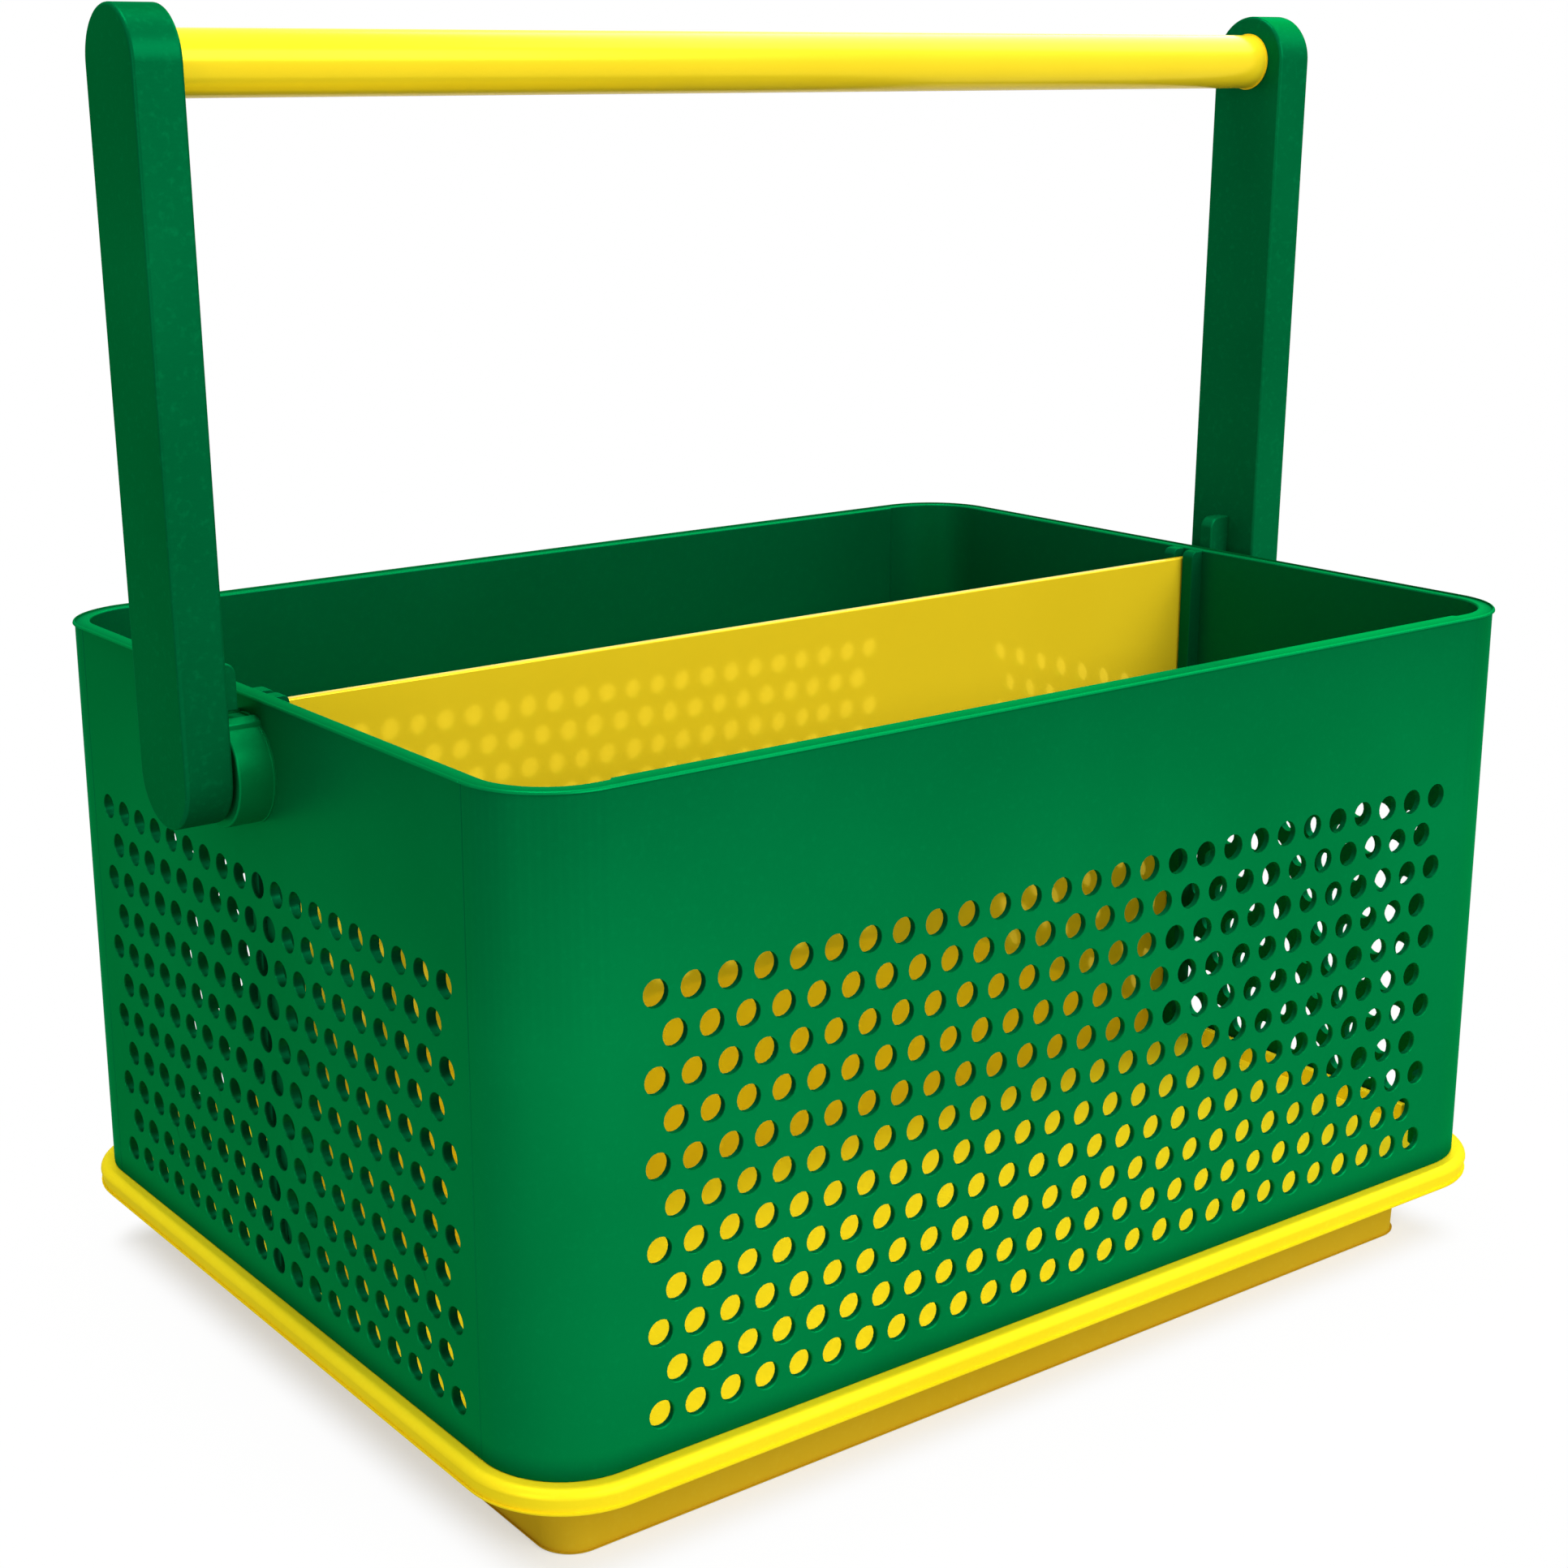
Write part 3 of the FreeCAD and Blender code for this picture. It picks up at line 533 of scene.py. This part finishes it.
def moulded_plastic(name, deep, pale, sheen, roughness=0.38, grain=0.05, speckle=0.25, lustre=0.35,
                    painted_shade_mask=None, painted_shade_tint=None):
    """Injection-moulded plastic: slow drift between two tones, a fine pale speckle from the pigment,
    and a fine even grain that the mould leaves in the surface. Lustre is how much of the plastic's own
    colour its gloss has. Where its painted shade mask is 1, its colour is multiplied by a darker tint:
    this is painted shade."""
    material, tree, place = new_material(name)
    drift = noise(tree, place, scale=14.0, detail=3.0)
    fleck = noise(tree, place, scale=700.0, detail=2.0)
    pores = noise(tree, place, scale=1600.0, detail=3.0)
    tone = ramp(tree, drift, 0.3, 0.7, high=0.5)
    spots = ramp(tree, fleck, 0.55, 0.8, high=speckle)
    share = add_node(tree, "ShaderNodeMath", {0: tone, 1: spots}, operation="ADD", use_clamp=True)
    colour = mix_colours(tree, share.outputs[0], deep, pale)
    # Painted shade: the colour is darkened where the mask is 1.
    if painted_shade_mask:
        colour = mix_colours(tree, painted_shade_mask(tree, place), colour, painted_shade_tint, "MULTIPLY")
    set_output(tree, add_node(tree, "ShaderNodeBsdfPrincipled", {
        "Base Color": colour,
        "Roughness": ramp(tree, fleck, 0.0, 1.0, low=roughness - 0.05, high=roughness + 0.07),
        "Normal": bump(tree, pores, strength=grain, distance=0.0002), "Metallic": lustre,
        "IOR": 1.47, "Specular IOR Level": 0.0, "Specular Tint": sheen}))
    return material


crease_angle = math.radians(32)


def put_in_scene(name, data):
    """A new object in the scene, with this mesh, lamp or camera."""
    thing = bpy.data.objects.new(name, data)
    bpy.context.scene.collection.objects.link(thing)
    return thing


def evaluated_mesh(thing):
    """The plain mesh that an object's modifiers make."""
    bpy.context.view_layer.update()
    return bpy.data.meshes.new_from_object(thing.evaluated_get(bpy.context.evaluated_depsgraph_get()))


def finish_piece(source, name, material, body, slot, *nodes):
    """Make an object's evaluated mesh a plain piece in metres, with even shading, that rides on a body
    and stands for CAD nodes."""
    bpy.context.scene.collection.objects.link(source)
    mesh = evaluated_mesh(source)
    for modifier in source.modifiers:
        if modifier.type == "BOOLEAN":
            bpy.data.objects.remove(modifier.object)
    bpy.data.objects.remove(source)
    mesh.transform(Matrix.Scale(0.001, 4))
    mesh.materials.clear()
    mesh.materials.append(material)
    mesh.polygons.foreach_set("use_smooth", [True] * len(mesh.polygons))
    mesh.polygons.foreach_set("material_index", [0] * len(mesh.polygons))
    mesh.set_sharp_from_angle(angle=crease_angle)
    piece = put_in_scene(name, mesh)
    piece.modifiers.new("even_shading", "WEIGHTED_NORMAL").keep_sharp = True
    shaded = evaluated_mesh(piece)
    piece.modifiers.clear()
    piece.data = shaded
    bpy.data.meshes.remove(mesh)
    shaded.name = name
    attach(piece, body)
    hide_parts(*nodes)


def outside_rectangle(tree, place, half_x, half_y):
    """How far a point lies outside a rectangle about the middle, seen from above, in metres."""
    flat = vector_node(tree, "MULTIPLY", place, (1.0, 1.0, 0.0))[0]
    side = vector_node(tree, "ABSOLUTE", flat)[0]
    past = vector_node(tree, "SUBTRACT", side, (half_x / 1000, half_y / 1000, 0.0))[0]
    return vector_node(tree, "LENGTH", vector_node(tree, "MAXIMUM", past)[0])["Value"]


# Where the tub's painted shade falls: behind the outer skin below the rim, and on a band at the foot.
skin_start = 0.4
skin_end = 0.8
skin_below_rim = 0.1
foot_shade_band = 6.5
foot_shade_share = 0.85


def painted_inside_and_foot_shade(tree, place):
    """Painted shade: 1 on everything behind the outer skin of the tub and below its rim, darkened to
    stand in for the shade inside the tub and in its holes, and nearly 1 at the very foot, darkened to
    stand in for the shade beside the base."""
    height = height_of(tree, place)
    reach = outside_rectangle(tree, place, half_length - corner_radius, half_width - corner_radius)
    behind = ramp(tree, reach, (corner_radius - skin_start) / 1000, (corner_radius - skin_end) / 1000)
    below = ramp(tree, height, (tub_high.z - skin_below_rim) / 1000, (tub_high.z - rim_round) / 1000)
    foot = ramp(tree, height, tub_low.z / 1000, (tub_low.z + foot_shade_band) / 1000, low=foot_shade_share,
                high=0.0, kind="SMOOTHSTEP")
    return math_node(tree, "MAXIMUM", math_node(tree, "MULTIPLY", behind, below), foot)


green_sheen = (0.06, 0.9, 0.45, 1.0)
# The tub's inside, its holes and its foot are darkened in its colour: painted shade.
green_plastic = moulded_plastic("green_moulding", paint(0, 112, 56), paint(2, 126, 66), green_sheen,
                                painted_shade_mask=painted_inside_and_foot_shade, painted_shade_tint=(0.5, 0.5, 0.62, 1.0))
hole_radius = 3.15
hole_chamfer = 0.25
hole_pitch = 9.3
row_pitch = 9.4
rows = 11
long_columns = 27
end_columns = 19
first_row_drop = 9.0
top_row = band_bottom - first_row_drop
hole_facets = 20

add_solid(tub, at_both_ends(hub), "hub_pair")
add_solid(tub, in_pairs(lip), "hub_lips")
add_tree(tub, perforation_tree(), {
    "Hole Radius": hole_radius, "Chamfer": hole_chamfer, "Hole Pitch": hole_pitch,
    "Row Pitch": row_pitch, "Rows": rows, "Long Columns": long_columns, "End Columns": end_columns,
    "Middle Height": top_row - (rows - 1) / 2 * row_pitch, "Half Length": half_length,
    "Half Width": half_width, "Facets": hole_facets, "Material": green_plastic})
add_solid(tub, in_pairs(rib), "divider_ribs")
add_solid(tub, at_four_corners(boss), "screw_bosses")
cut_solid(tub, at_both_ends(hub_slot), "hub_slots")
cut_solid(tub, at_both_ends(pivot_bore), "pivot_bores")
cut_solid(tub, at_four_corners(pilot_hole), "pilot_holes")
finish_piece(tub, "tub_moulding", green_plastic, "carrier", "green_plastic", "tub")


# ---- Base ----
# A yellow moulding under the tub: a flange with a full round edge, a plinth that it stands on, a
# floor with crossing ribs below, and lips above that centre the tub before it is screwed down.

base_low, base_high = node_box("base")
flange_corner = 24.8
flange_top = tub_low.z
flange_thickness = 6.0
flange_bottom = flange_top - flange_thickness
flange_round = 2.2
flange_lower_round = 0.8
plinth_inset = 17.2
plinth_corner = 9.0
plinth_wall = 2.4
plinth_edge = 0.6
# The height over which the plinth's painted shade fades in below the flange.
plinth_shade_blend = 1.0
floor_thickness = 3.0
floor_underside = flange_top - floor_thickness
floor_rib_wall = 2.0
floor_rib_depth = 3.0
floor_rib_edge = 0.3
locating_gap = 0.3
locating_wall = 2.0
locating_clear = 3.0
locating_edge = 0.5
root_overlap = 1.0
screw_hole_radius = 2.15


def base_ring(height, inset, radius):
    """One level ring of the base's skin."""
    half_x, half_y = base_high.x - inset, base_high.y - inset
    return [(point.x, point.y, height) for point in outline(half_x, half_y, radius)]


def locating_lips():
    """Six low walls just inside the tub's, clear of the ribs and corners."""
    root, top = flange_top - root_overlap, base_high.z
    long_stop = half_length - corner_radius - locating_clear
    short_stop = half_width - corner_radius - locating_clear
    rib_clear = rib_gap + rib_width + locating_clear
    insets = (locating_gap, locating_gap + locating_wall)
    lips = []
    for side in (1, -1):
        low, high = sorted(side * (half_width - panel_wall - inset) for inset in insets)
        lips.append(block((-long_stop, low, root), (long_stop, high, top), locating_edge, steps=3))
        low, high = sorted(side * (half_length - corner_wall - inset) for inset in insets)
        lips.append(block((low, rib_clear, root), (high, short_stop, top), locating_edge, steps=3))
        lips.append(block((low, -short_stop, root), (high, -rib_clear, top), locating_edge, steps=3))
    return joined(*lips)


def floor_ribs():
    """The ribs below the floor: two bars along it, and three across it."""
    reach_x = base_high.x - plinth_inset - plinth_wall / 2
    reach_y = base_high.y - plinth_inset - plinth_wall / 2
    low, high = floor_underside - floor_rib_depth, floor_underside + root_overlap
    half = floor_rib_wall / 2
    along = [block((-reach_x, place - half, low), (reach_x, place + half, high), floor_rib_edge)
             for place in (-reach_y / 3, reach_y / 3)]
    across = [block((place - half, -reach_y, low), (place + half, reach_y, high), floor_rib_edge)
              for place in (-reach_x / 2, 0, reach_x / 2)]
    return joined(*along), joined(*across)


def screw_hole(x, y):
    return upright(x, y, flange_bottom - overrun, flange_top + overrun, screw_hole_radius)


def base_skin():
    """The base's rings, from the top over the flange's edge and in below it, and then down the plinth,
    round its foot and up inside to the floor."""
    rings = []
    for inward, downward in arc_steps(flange_round, 8):
        rings.append(base_ring(flange_top - downward, inward, flange_corner - inward))
    for upward, inward in reversed(arc_steps(flange_lower_round, 4)):
        rings.append(base_ring(flange_bottom + upward, inward, flange_corner - inward))
    rings.append(base_ring(flange_bottom, plinth_inset, plinth_corner))
    for upward, inward in reversed(arc_steps(plinth_edge, 4)):
        rings.append(base_ring(base_low.z + upward, plinth_inset + inward, plinth_corner - inward))
    for inward, upward in arc_steps(plinth_edge, 3):
        inset = plinth_wall - inward
        rings.append(base_ring(base_low.z + upward, plinth_inset + inset, plinth_corner - inset))
    rings.append(base_ring(floor_underside, plinth_inset + plinth_wall, plinth_corner - plinth_wall))
    return rings


def painted_plinth_shade(tree, place):
    """Painted shade: 1 on the plinth, darkened to stand in for the shadow under the flange above it."""
    plinth_top = flange_bottom - plinth_shade_blend
    return ramp(tree, height_of(tree, place), flange_bottom / 1000, plinth_top / 1000)


yellow_sheen = (1.0, 0.95, 0.5, 1.0)
# The plinth is darkened in the base's colour: painted shade under the flange.
yellow_plastic = moulded_plastic("yellow_moulding", paint(248, 222, 28), paint(254, 234, 42),
                                 yellow_sheen, speckle=0.35, lustre=0.2, painted_shade_mask=painted_plinth_shade,
                                 painted_shade_tint=(0.6, 0.49, 0.9, 1.0))
base = as_object(loft(base_skin()), "base_shell")
long_ribs, cross_ribs = floor_ribs()
add_solid(base, locating_lips(), "locating_lips")
add_solid(base, long_ribs, "long_floor_ribs")
add_solid(base, cross_ribs, "cross_floor_ribs")
cut_solid(base, at_four_corners(screw_hole), "screw_holes")
finish_piece(base, "base_moulding", yellow_plastic, "carrier", "yellow_plastic", "base")


# ---- Base screws ----
# Four zinc-plated pan-head screws with a cross recess, driven up through the flange into the bosses
# of the tub. They cut their own threads there.

screw_low, screw_high = node_box("base_screws")
screw_head_radius = 3.5
screw_head_height = flange_bottom - screw_low.z
screw_head_flat = 0.55
screw_head_curve = 0.45
screw_head_gap = 0.02
screw_length = screw_high.z - flange_bottom
screw_radius = 1.75
thread_depth = 0.35
screw_core = screw_radius - thread_depth
thread_pitch = 1.3
thread_start = 0.6
thread_stop = 3.0
thread_form = ((0.0, screw_core), (0.4, screw_radius), (0.55, screw_radius), (0.9, screw_core))
tip_length = 1.2
recess_depth = 1.3
recess_reach = 1.9
recess_half = 0.35


def one_screw():
    """A screw that points up from the origin, its head below, with a cross recess."""
    head = [(-screw_head_height, 0), (-screw_head_height, screw_head_radius * screw_head_flat)]
    for step in range(1, 6):
        turn = step * math.pi / 12
        wide = screw_head_radius * (screw_head_flat + screw_head_curve * math.sin(turn))
        head.append((-screw_head_height * math.cos(turn), wide))
    shank = [(-screw_head_gap, screw_head_radius), (0.0, screw_core)]
    for turn in range(int((screw_length - thread_stop) / thread_pitch)):
        foot = thread_start + turn * thread_pitch
        shank += [(foot + share * thread_pitch, radius) for share, radius in thread_form]
    tip = [(screw_length - tip_length, screw_core), (screw_length, 0)]
    screw = as_object(lathe(head + shank + tip, facets=24, height=0.0), "one_screw")
    screw.data.transform(Matrix.Rotation(-math.pi / 2, 4, "Y"))
    bottom, top = -screw_head_height - overrun, -screw_head_height + recess_depth
    for name, half_x, half_y in (("recess_one", recess_reach, recess_half),
                                 ("recess_two", recess_half, recess_reach)):
        cut_solid(screw, block((-half_x, -half_y, bottom), (half_x, half_y, top)), name)
    return screw


def screw_tree():
    """Sets one screw at each corner of a rectangle."""
    tree = bpy.data.node_groups.new("screw_pattern", "GeometryNodeTree")
    given = add_inputs(tree, {
        "Length": "Float", "Width": "Float", "Height": "Float", "Material": "Material"})
    corners = add_node(tree, "GeometryNodeMeshGrid", {
        "Size X": given["Length"], "Size Y": given["Width"], "Vertices X": 2, "Vertices Y": 2})
    screws = add_node(tree, "GeometryNodeInstanceOnPoints", {
        "Points": corners.outputs["Mesh"], "Instance": given["Mesh"]})
    level = add_node(tree, "ShaderNodeCombineXYZ", {2: given["Height"]})
    raised = add_node(tree, "GeometryNodeTransform", {
        "Geometry": screws.outputs[0], "Translation": level.outputs[0]})
    close_tree(tree, raised.outputs[0], given["Material"])
    return tree


def metal(name, tone, roughness):
    """Plated or turned metal: a slight haze in its tone, and fine marks that make its gloss uneven."""
    material, tree, place = new_material(name)
    marks = noise(tree, place, scale=900.0, detail=4.0)
    haze = noise(tree, place, scale=160.0, detail=2.0)
    haze_share = 0.82
    hazed = tuple(part * haze_share for part in tone[:3]) + (1.0,)
    set_output(tree, add_node(tree, "ShaderNodeBsdfPrincipled", {
        "Base Color": mix_colours(tree, haze, hazed, tone),
        "Roughness": ramp(tree, marks, 0.0, 1.0, low=roughness - 0.08, high=roughness + 0.12),
        "Normal": bump(tree, marks, strength=0.12, distance=0.0001), "Metallic": 1.0}))
    return material


steel = metal("zinc_plated_steel", paint(205, 207, 210), roughness=0.3)
screws = one_screw()
add_tree(screws, screw_tree(), {
    "Length": 2 * boss_x, "Width": 2 * boss_y, "Height": flange_bottom, "Material": steel})
finish_piece(screws, "base_screw_set", steel, "carrier", "steel", "base_screws")


# ---- Divider ----
# A glossy yellow sheet that drops between the ribs and stands on the base. Its edges are eased and
# its lower corners are cut so that it finds its way into the ribs.

divider_edge = 0.5
divider_lead = 3.0


def divider_board():
    low, high = divider_low, divider_high
    points = [(low.x + divider_lead, low.z), (high.x - divider_lead, low.z),
              (high.x, low.z + divider_lead), (high.x, high.z), (low.x, high.z),
              (low.x, low.z + divider_lead)]
    return prism(points, "y", low.y, high.y, divider_edge, steps=3)


def gloss_plastic(name, deep, pale, roughness, ripple, ripple_scale, lustre):
    """Polished plastic: a clear sheen over an even colour, a little dust in its gloss, and the slight
    ripple of a pressed or drawn surface."""
    material, tree, place = new_material(name)
    drift = noise(tree, place, scale=18.0, detail=2.0)
    waves = noise(tree, place, scale=ripple_scale, detail=1.0)
    dust = noise(tree, place, scale=900.0, detail=3.0)
    set_output(tree, add_node(tree, "ShaderNodeBsdfPrincipled", {
        "Base Color": mix_colours(tree, drift, deep, pale),
        "Roughness": ramp(tree, dust, 0.35, 0.75, low=roughness, high=roughness + 0.04),
        "Normal": bump(tree, waves, strength=ripple, distance=0.001), "Metallic": lustre,
        "IOR": 1.49, "Specular IOR Level": 0.15, "Specular Tint": yellow_sheen}))
    return material


yellow_sheet = gloss_plastic("yellow_sheet", paint(236, 202, 30), paint(245, 212, 38), roughness=0.035,
                             ripple=0.03, ripple_scale=60.0, lustre=0.2)
divider = as_object(divider_board(), "divider_sheet")
finish_piece(divider, "divider_board", yellow_sheet, "partition", "yellow_sheet", "divider")


# ---- Handle arms ----
# Two green mouldings, each a flat bar with round ends that leans outwards a little. The inner face
# carries a key that stands over the hub, a spigot for the grip tube and a pocket for the insert.

arm_high = node_box("handle_arm_right")[1]
grip_low, grip_high = node_box("grip_tube")
arm_face = grip_high.x
arm_fullness = 1.05
arm_half = arm_high.y + arm_fullness
arm_edge = 0.9
arm_lean = 1.2
arm_facets = 40
grip_height = (grip_low.z + grip_high.z) / 2
grip_fullness = 0.25
grip_radius = grip_high.y + grip_fullness
key_half = 2.1
key_clearance = 2.5
key_face = half_length + key_clearance
key_lift = 0.3
key_low = pivot_height + lip_radius + key_lift
key_length = 11.1
key_high = key_low + key_length
key_round = 3.0
key_edge = 0.5
key_root = 3.0
spigot_inset = 2.2
spigot_radius = grip_radius - spigot_inset
spigot_length = 18.0
spigot_chamfer = 0.6
spigot_root = 2.0
pocket_play = 0.05
pocket_half = node_box("thread_insert_right")[1].z - pivot_height + pocket_play
pocket_depth = 8.5


def blade():
    """The flat bar, its long edges rounded."""
    points = []
    for centre, start in ((grip_height, 0), (pivot_height + arm_fullness, math.pi)):
        for step in range(arm_facets + 1):
            angle = start + step * math.pi / arm_facets
            points.append((arm_half * math.cos(angle), centre + arm_half * math.sin(angle)))
    return prism(points, "x", arm_face, arm_high.x, arm_edge, steps=4)


def key():
    """The key that stands over the hub's slot, rounded at its upper corner."""
    corner = [(key_face + along, key_high - across) for along, across in arc_steps(key_round, 8)]
    root = arm_face + key_root
    points = [(root, key_low), (root, key_high)] + corner + [(key_face, key_low)]
    return prism(points, "y", -key_half, key_half, key_edge, steps=3)


def spigot():
    """The round post that the grip tube is pushed over."""
    tip, root = arm_face - spigot_length, arm_face + spigot_root
    profile = [(tip, 0), (tip, spigot_radius - spigot_chamfer), (tip + spigot_chamfer, spigot_radius),
               (root, spigot_radius), (root, 0)]
    return lathe(profile, facets=48, height=grip_height)


def hex_hole(half_across, low, high):
    """A six-sided hole on the pivot axis, this far from the axis to each of its flats."""
    corner = half_across / math.cos(math.pi / 6)
    turns = [step * math.pi / 3 for step in range(6)]
    points = [(corner * math.cos(turn), pivot_height + corner * math.sin(turn)) for turn in turns]
    return prism(points, "x", low, high)


def leaning(builder):
    """An arm's solid sheared outwards, by nothing at the pivot and by arm_lean at the grip."""
    for vert in builder.verts:
        vert.co.x += arm_lean * (vert.co.z - pivot_height) / (grip_height - pivot_height)
    return builder


green_arm = moulded_plastic("green_arm_moulding", paint(0, 85, 45), paint(3, 105, 58), green_sheen,
                            grain=0.08, speckle=0.5)
end_turns = {"right": 0, "left": math.pi}
for end, angle in end_turns.items():
    arm = as_object(turned(leaning(blade()), angle), "arm_blade_" + end)
    add_solid(arm, turned(leaning(key()), angle), "arm_key_" + end)
    add_solid(arm, turned(leaning(spigot()), angle), "arm_spigot_" + end)
    pocket = hex_hole(pocket_half, arm_face - overrun, arm_face + pocket_depth)
    cut_solid(arm, turned(pocket, angle), "arm_pocket_" + end)
    finish_piece(arm, "arm_moulding_" + end, green_arm, "handle", "green_plastic", "handle_arm_" + end)


# ---- Pivot hardware ----
# At each end a steel shoulder screw is fixed in a brass insert in the arm. Its shoulder turns in a
# black nylon bush, pressed into the blind bore of the hub, against a thrust washer at the bottom.

pivot_low, pivot_high = node_box("pivot_screw_right")
shoulder_radius = pivot_high.y
shoulder_edge = 0.4
shoulder_top_edge = 0.2
pivot_thread_radius = 2.5
pivot_thread_depth = 0.3
pivot_core = pivot_thread_radius - pivot_thread_depth
pivot_tip_depth = 0.7
pivot_tip = pivot_thread_radius - pivot_tip_depth
pivot_tip_length = 0.4
pivot_thread_pitch = 0.8
pivot_thread_start = 0.4
pivot_thread_stop = 1.2
pivot_crest = (0.35, 0.45)
socket_across = 2.5
socket_depth = 2.2


def shoulder_screw():
    profile = [(pivot_low.x, 0), (pivot_low.x, shoulder_radius - shoulder_edge),
               (pivot_low.x + shoulder_edge, shoulder_radius),
               (arm_face - shoulder_top_edge, shoulder_radius),
               (arm_face, shoulder_radius - shoulder_top_edge), (arm_face, pivot_core)]
    for turn in range(int((pivot_high.x - arm_face - pivot_thread_stop) / pivot_thread_pitch)):
        foot = arm_face + pivot_thread_start + turn * pivot_thread_pitch
        profile.append((foot, pivot_core))
        profile += [(foot + rise, pivot_thread_radius) for rise in pivot_crest]
    profile += [(pivot_high.x - pivot_tip_length, pivot_core), (pivot_high.x, pivot_tip),
                (pivot_high.x, 0)]
    return lathe(profile, facets=48)


white = (1.0, 1.0, 1.0, 1.0)
brass = metal("brass", paint(205, 165, 90), roughness=0.34)
nylon = moulded_plastic("black_nylon", paint(22, 23, 24), paint(34, 35, 36), white, roughness=0.4,
                        speckle=0.1)
for end, angle in end_turns.items():
    screw = as_object(turned(shoulder_screw(), angle), "shoulder_screw_" + end)
    socket = hex_hole(socket_across / 2, pivot_low.x - overrun, pivot_low.x + socket_depth)
    cut_solid(screw, turned(socket, angle), "screw_socket_" + end)
    finish_piece(screw, "shoulder_screw_turned_" + end, steel, "handle", "steel", "pivot_screw_" + end)
    for node, finish in (("head_washer_", steel), ("pivot_bush_", nylon), ("thread_insert_", brass)):
        for material_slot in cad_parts[node + end].material_slots:
            material_slot.material = finish


# ---- Grip tube ----
# A yellow tube with eased ends, pushed over the spigots of both arms last of all, and smooth and
# polished from handling.

grip_end = grip_high.x + arm_lean
grip_wall = 2.08
grip_bore = grip_radius - grip_wall
grip_edge = 0.4


def grip():
    end = [(grip_end - along, grip_radius - across) for across, along in arc_steps(grip_edge)]
    profile = [(-along, radius) for along, radius in reversed(end)] + end
    profile += [(grip_end, grip_bore), (-grip_end, grip_bore)]
    return lathe(profile, facets=72, height=grip_height)


yellow_tube = gloss_plastic("yellow_tube", paint(238, 206, 28), paint(246, 220, 38), roughness=0.2,
                            ripple=0.02, ripple_scale=40.0, lustre=0.15)
tube = as_object(grip(), "grip_tube_blank")
finish_piece(tube, "grip_tube_turned", yellow_tube, "handle", "yellow_tube", "grip_tube")


# ---- Floor, light and camera ----
# A plain pale sweep under soft, even studio light, seen from the front left and a little above. The
# sweep keeps the caddy's shadow, which fades out a little way from the plinth.

floor_size = 6.0
shadow_core = 0.016
shadow_reach = 0.12
near_glow = 0.5
far_glow = 0.97
last_glow = 0.03
paper_seen = (0.9, 0.9, 0.9, 1.0)
paper_bounce = (0.35, 0.35, 0.35, 1.0)
room_strength = 0.38
caddy_middle = Vector((0.0, 0.0, 0.1))


def background_rays(tree):
    """1 where the background is seen: by the camera, in gloss, or through something clear."""
    ray = tree.nodes.new("ShaderNodeLightPath").outputs
    indirect = math_node(tree, "MAXIMUM", ray["Is Glossy Ray"], ray["Is Transmission Ray"])
    return math_node(tree, "MAXIMUM", ray["Is Camera Ray"], indirect)


builder = bmesh.new()
bmesh.ops.create_grid(builder, x_segments=1, y_segments=1, size=floor_size)
floor_mesh = bpy.data.meshes.new("floor")
builder.to_mesh(floor_mesh)
builder.free()
floor = put_in_scene("floor", floor_mesh)

paper, tree, place = new_material("pale_paper")
away = outside_rectangle(tree, place, base_high.x - plinth_inset, base_high.y - plinth_inset)
near = ramp(tree, away, 0.0, shadow_core, low=near_glow, high=far_glow, kind="SMOOTHSTEP")
far = ramp(tree, away, 0.0, shadow_reach, high=last_glow)
seen = background_rays(tree)
share = math_node(tree, "MULTIPLY", math_node(tree, "ADD", near, far), seen)
matt = add_node(tree, "ShaderNodeBsdfDiffuse", {
    "Color": mix_colours(tree, seen, paper_bounce, paper_seen)}).outputs[0]
glow = add_node(tree, "ShaderNodeEmission", {"Color": white, "Strength": 1.0}).outputs[0]
set_output(tree, add_node(tree, "ShaderNodeMixShader", {0: share, 1: matt, 2: glow}))
floor_mesh.materials.append(paper)

world = bpy.data.worlds.new("studio")
bpy.context.scene.world = world
world.use_nodes = True
tree = world.node_tree
tree.nodes.clear()
room = add_node(tree, "ShaderNodeBackground", {"Color": white, "Strength": room_strength}).outputs[0]
plain = add_node(tree, "ShaderNodeBackground", {"Color": white, "Strength": 1.0}).outputs[0]
blend = add_node(tree, "ShaderNodeMixShader", {0: background_rays(tree), 1: room, 2: plain})
set_output(tree, blend, "ShaderNodeOutputWorld")


def softbox(name, place, width, height, power):
    """A rectangular lamp at a place, turned to the middle of the caddy. Gives the lamp."""
    light = bpy.data.lights.new(name, "AREA")
    light.shape = "RECTANGLE"
    light.size = width
    light.size_y = height
    light.energy = power
    lamp = put_in_scene(name, light)
    lamp.location = place
    lamp.rotation_euler = (caddy_middle - Vector(place)).to_track_quat("-Z", "Y").to_euler()
    return lamp


softbox("front_light", (0.4, -1.9, 1.2), width=1.6, height=1.2, power=43.0)
softbox("left_light", (-2.0, -0.9, 0.5), width=1.0, height=0.8, power=9.0)
softbox("top_light", (-0.1, 0.15, 1.95), width=0.8, height=0.8, power=27.0)
high_card = softbox("high_card", (1.35, 0.1, 1.4), width=2.2, height=1.2, power=36.0)
high_card.visible_diffuse = False

camera_place = Vector((-0.39236, -0.50592, 0.30404))
camera_heading = math.radians(35.83)
camera_drop = math.radians(16.315)
camera_roll = math.radians(-0.465)
lens = bpy.data.cameras.new("camera")
lens.sensor_width = 36.0
lens.lens = 58.05
lens.shift_x = 0.0531
lens.shift_y = 0.028
camera = put_in_scene("camera", lens)
look = Matrix.Rotation(-camera_heading, 4, "Z") @ Matrix.Rotation(math.pi / 2 - camera_drop, 4, "X")
camera.matrix_world = Matrix.Translation(camera_place) @ look @ Matrix.Rotation(camera_roll, 4, "Z")
bpy.context.scene.camera = camera
bpy.context.scene.view_settings.view_transform = "Standard"
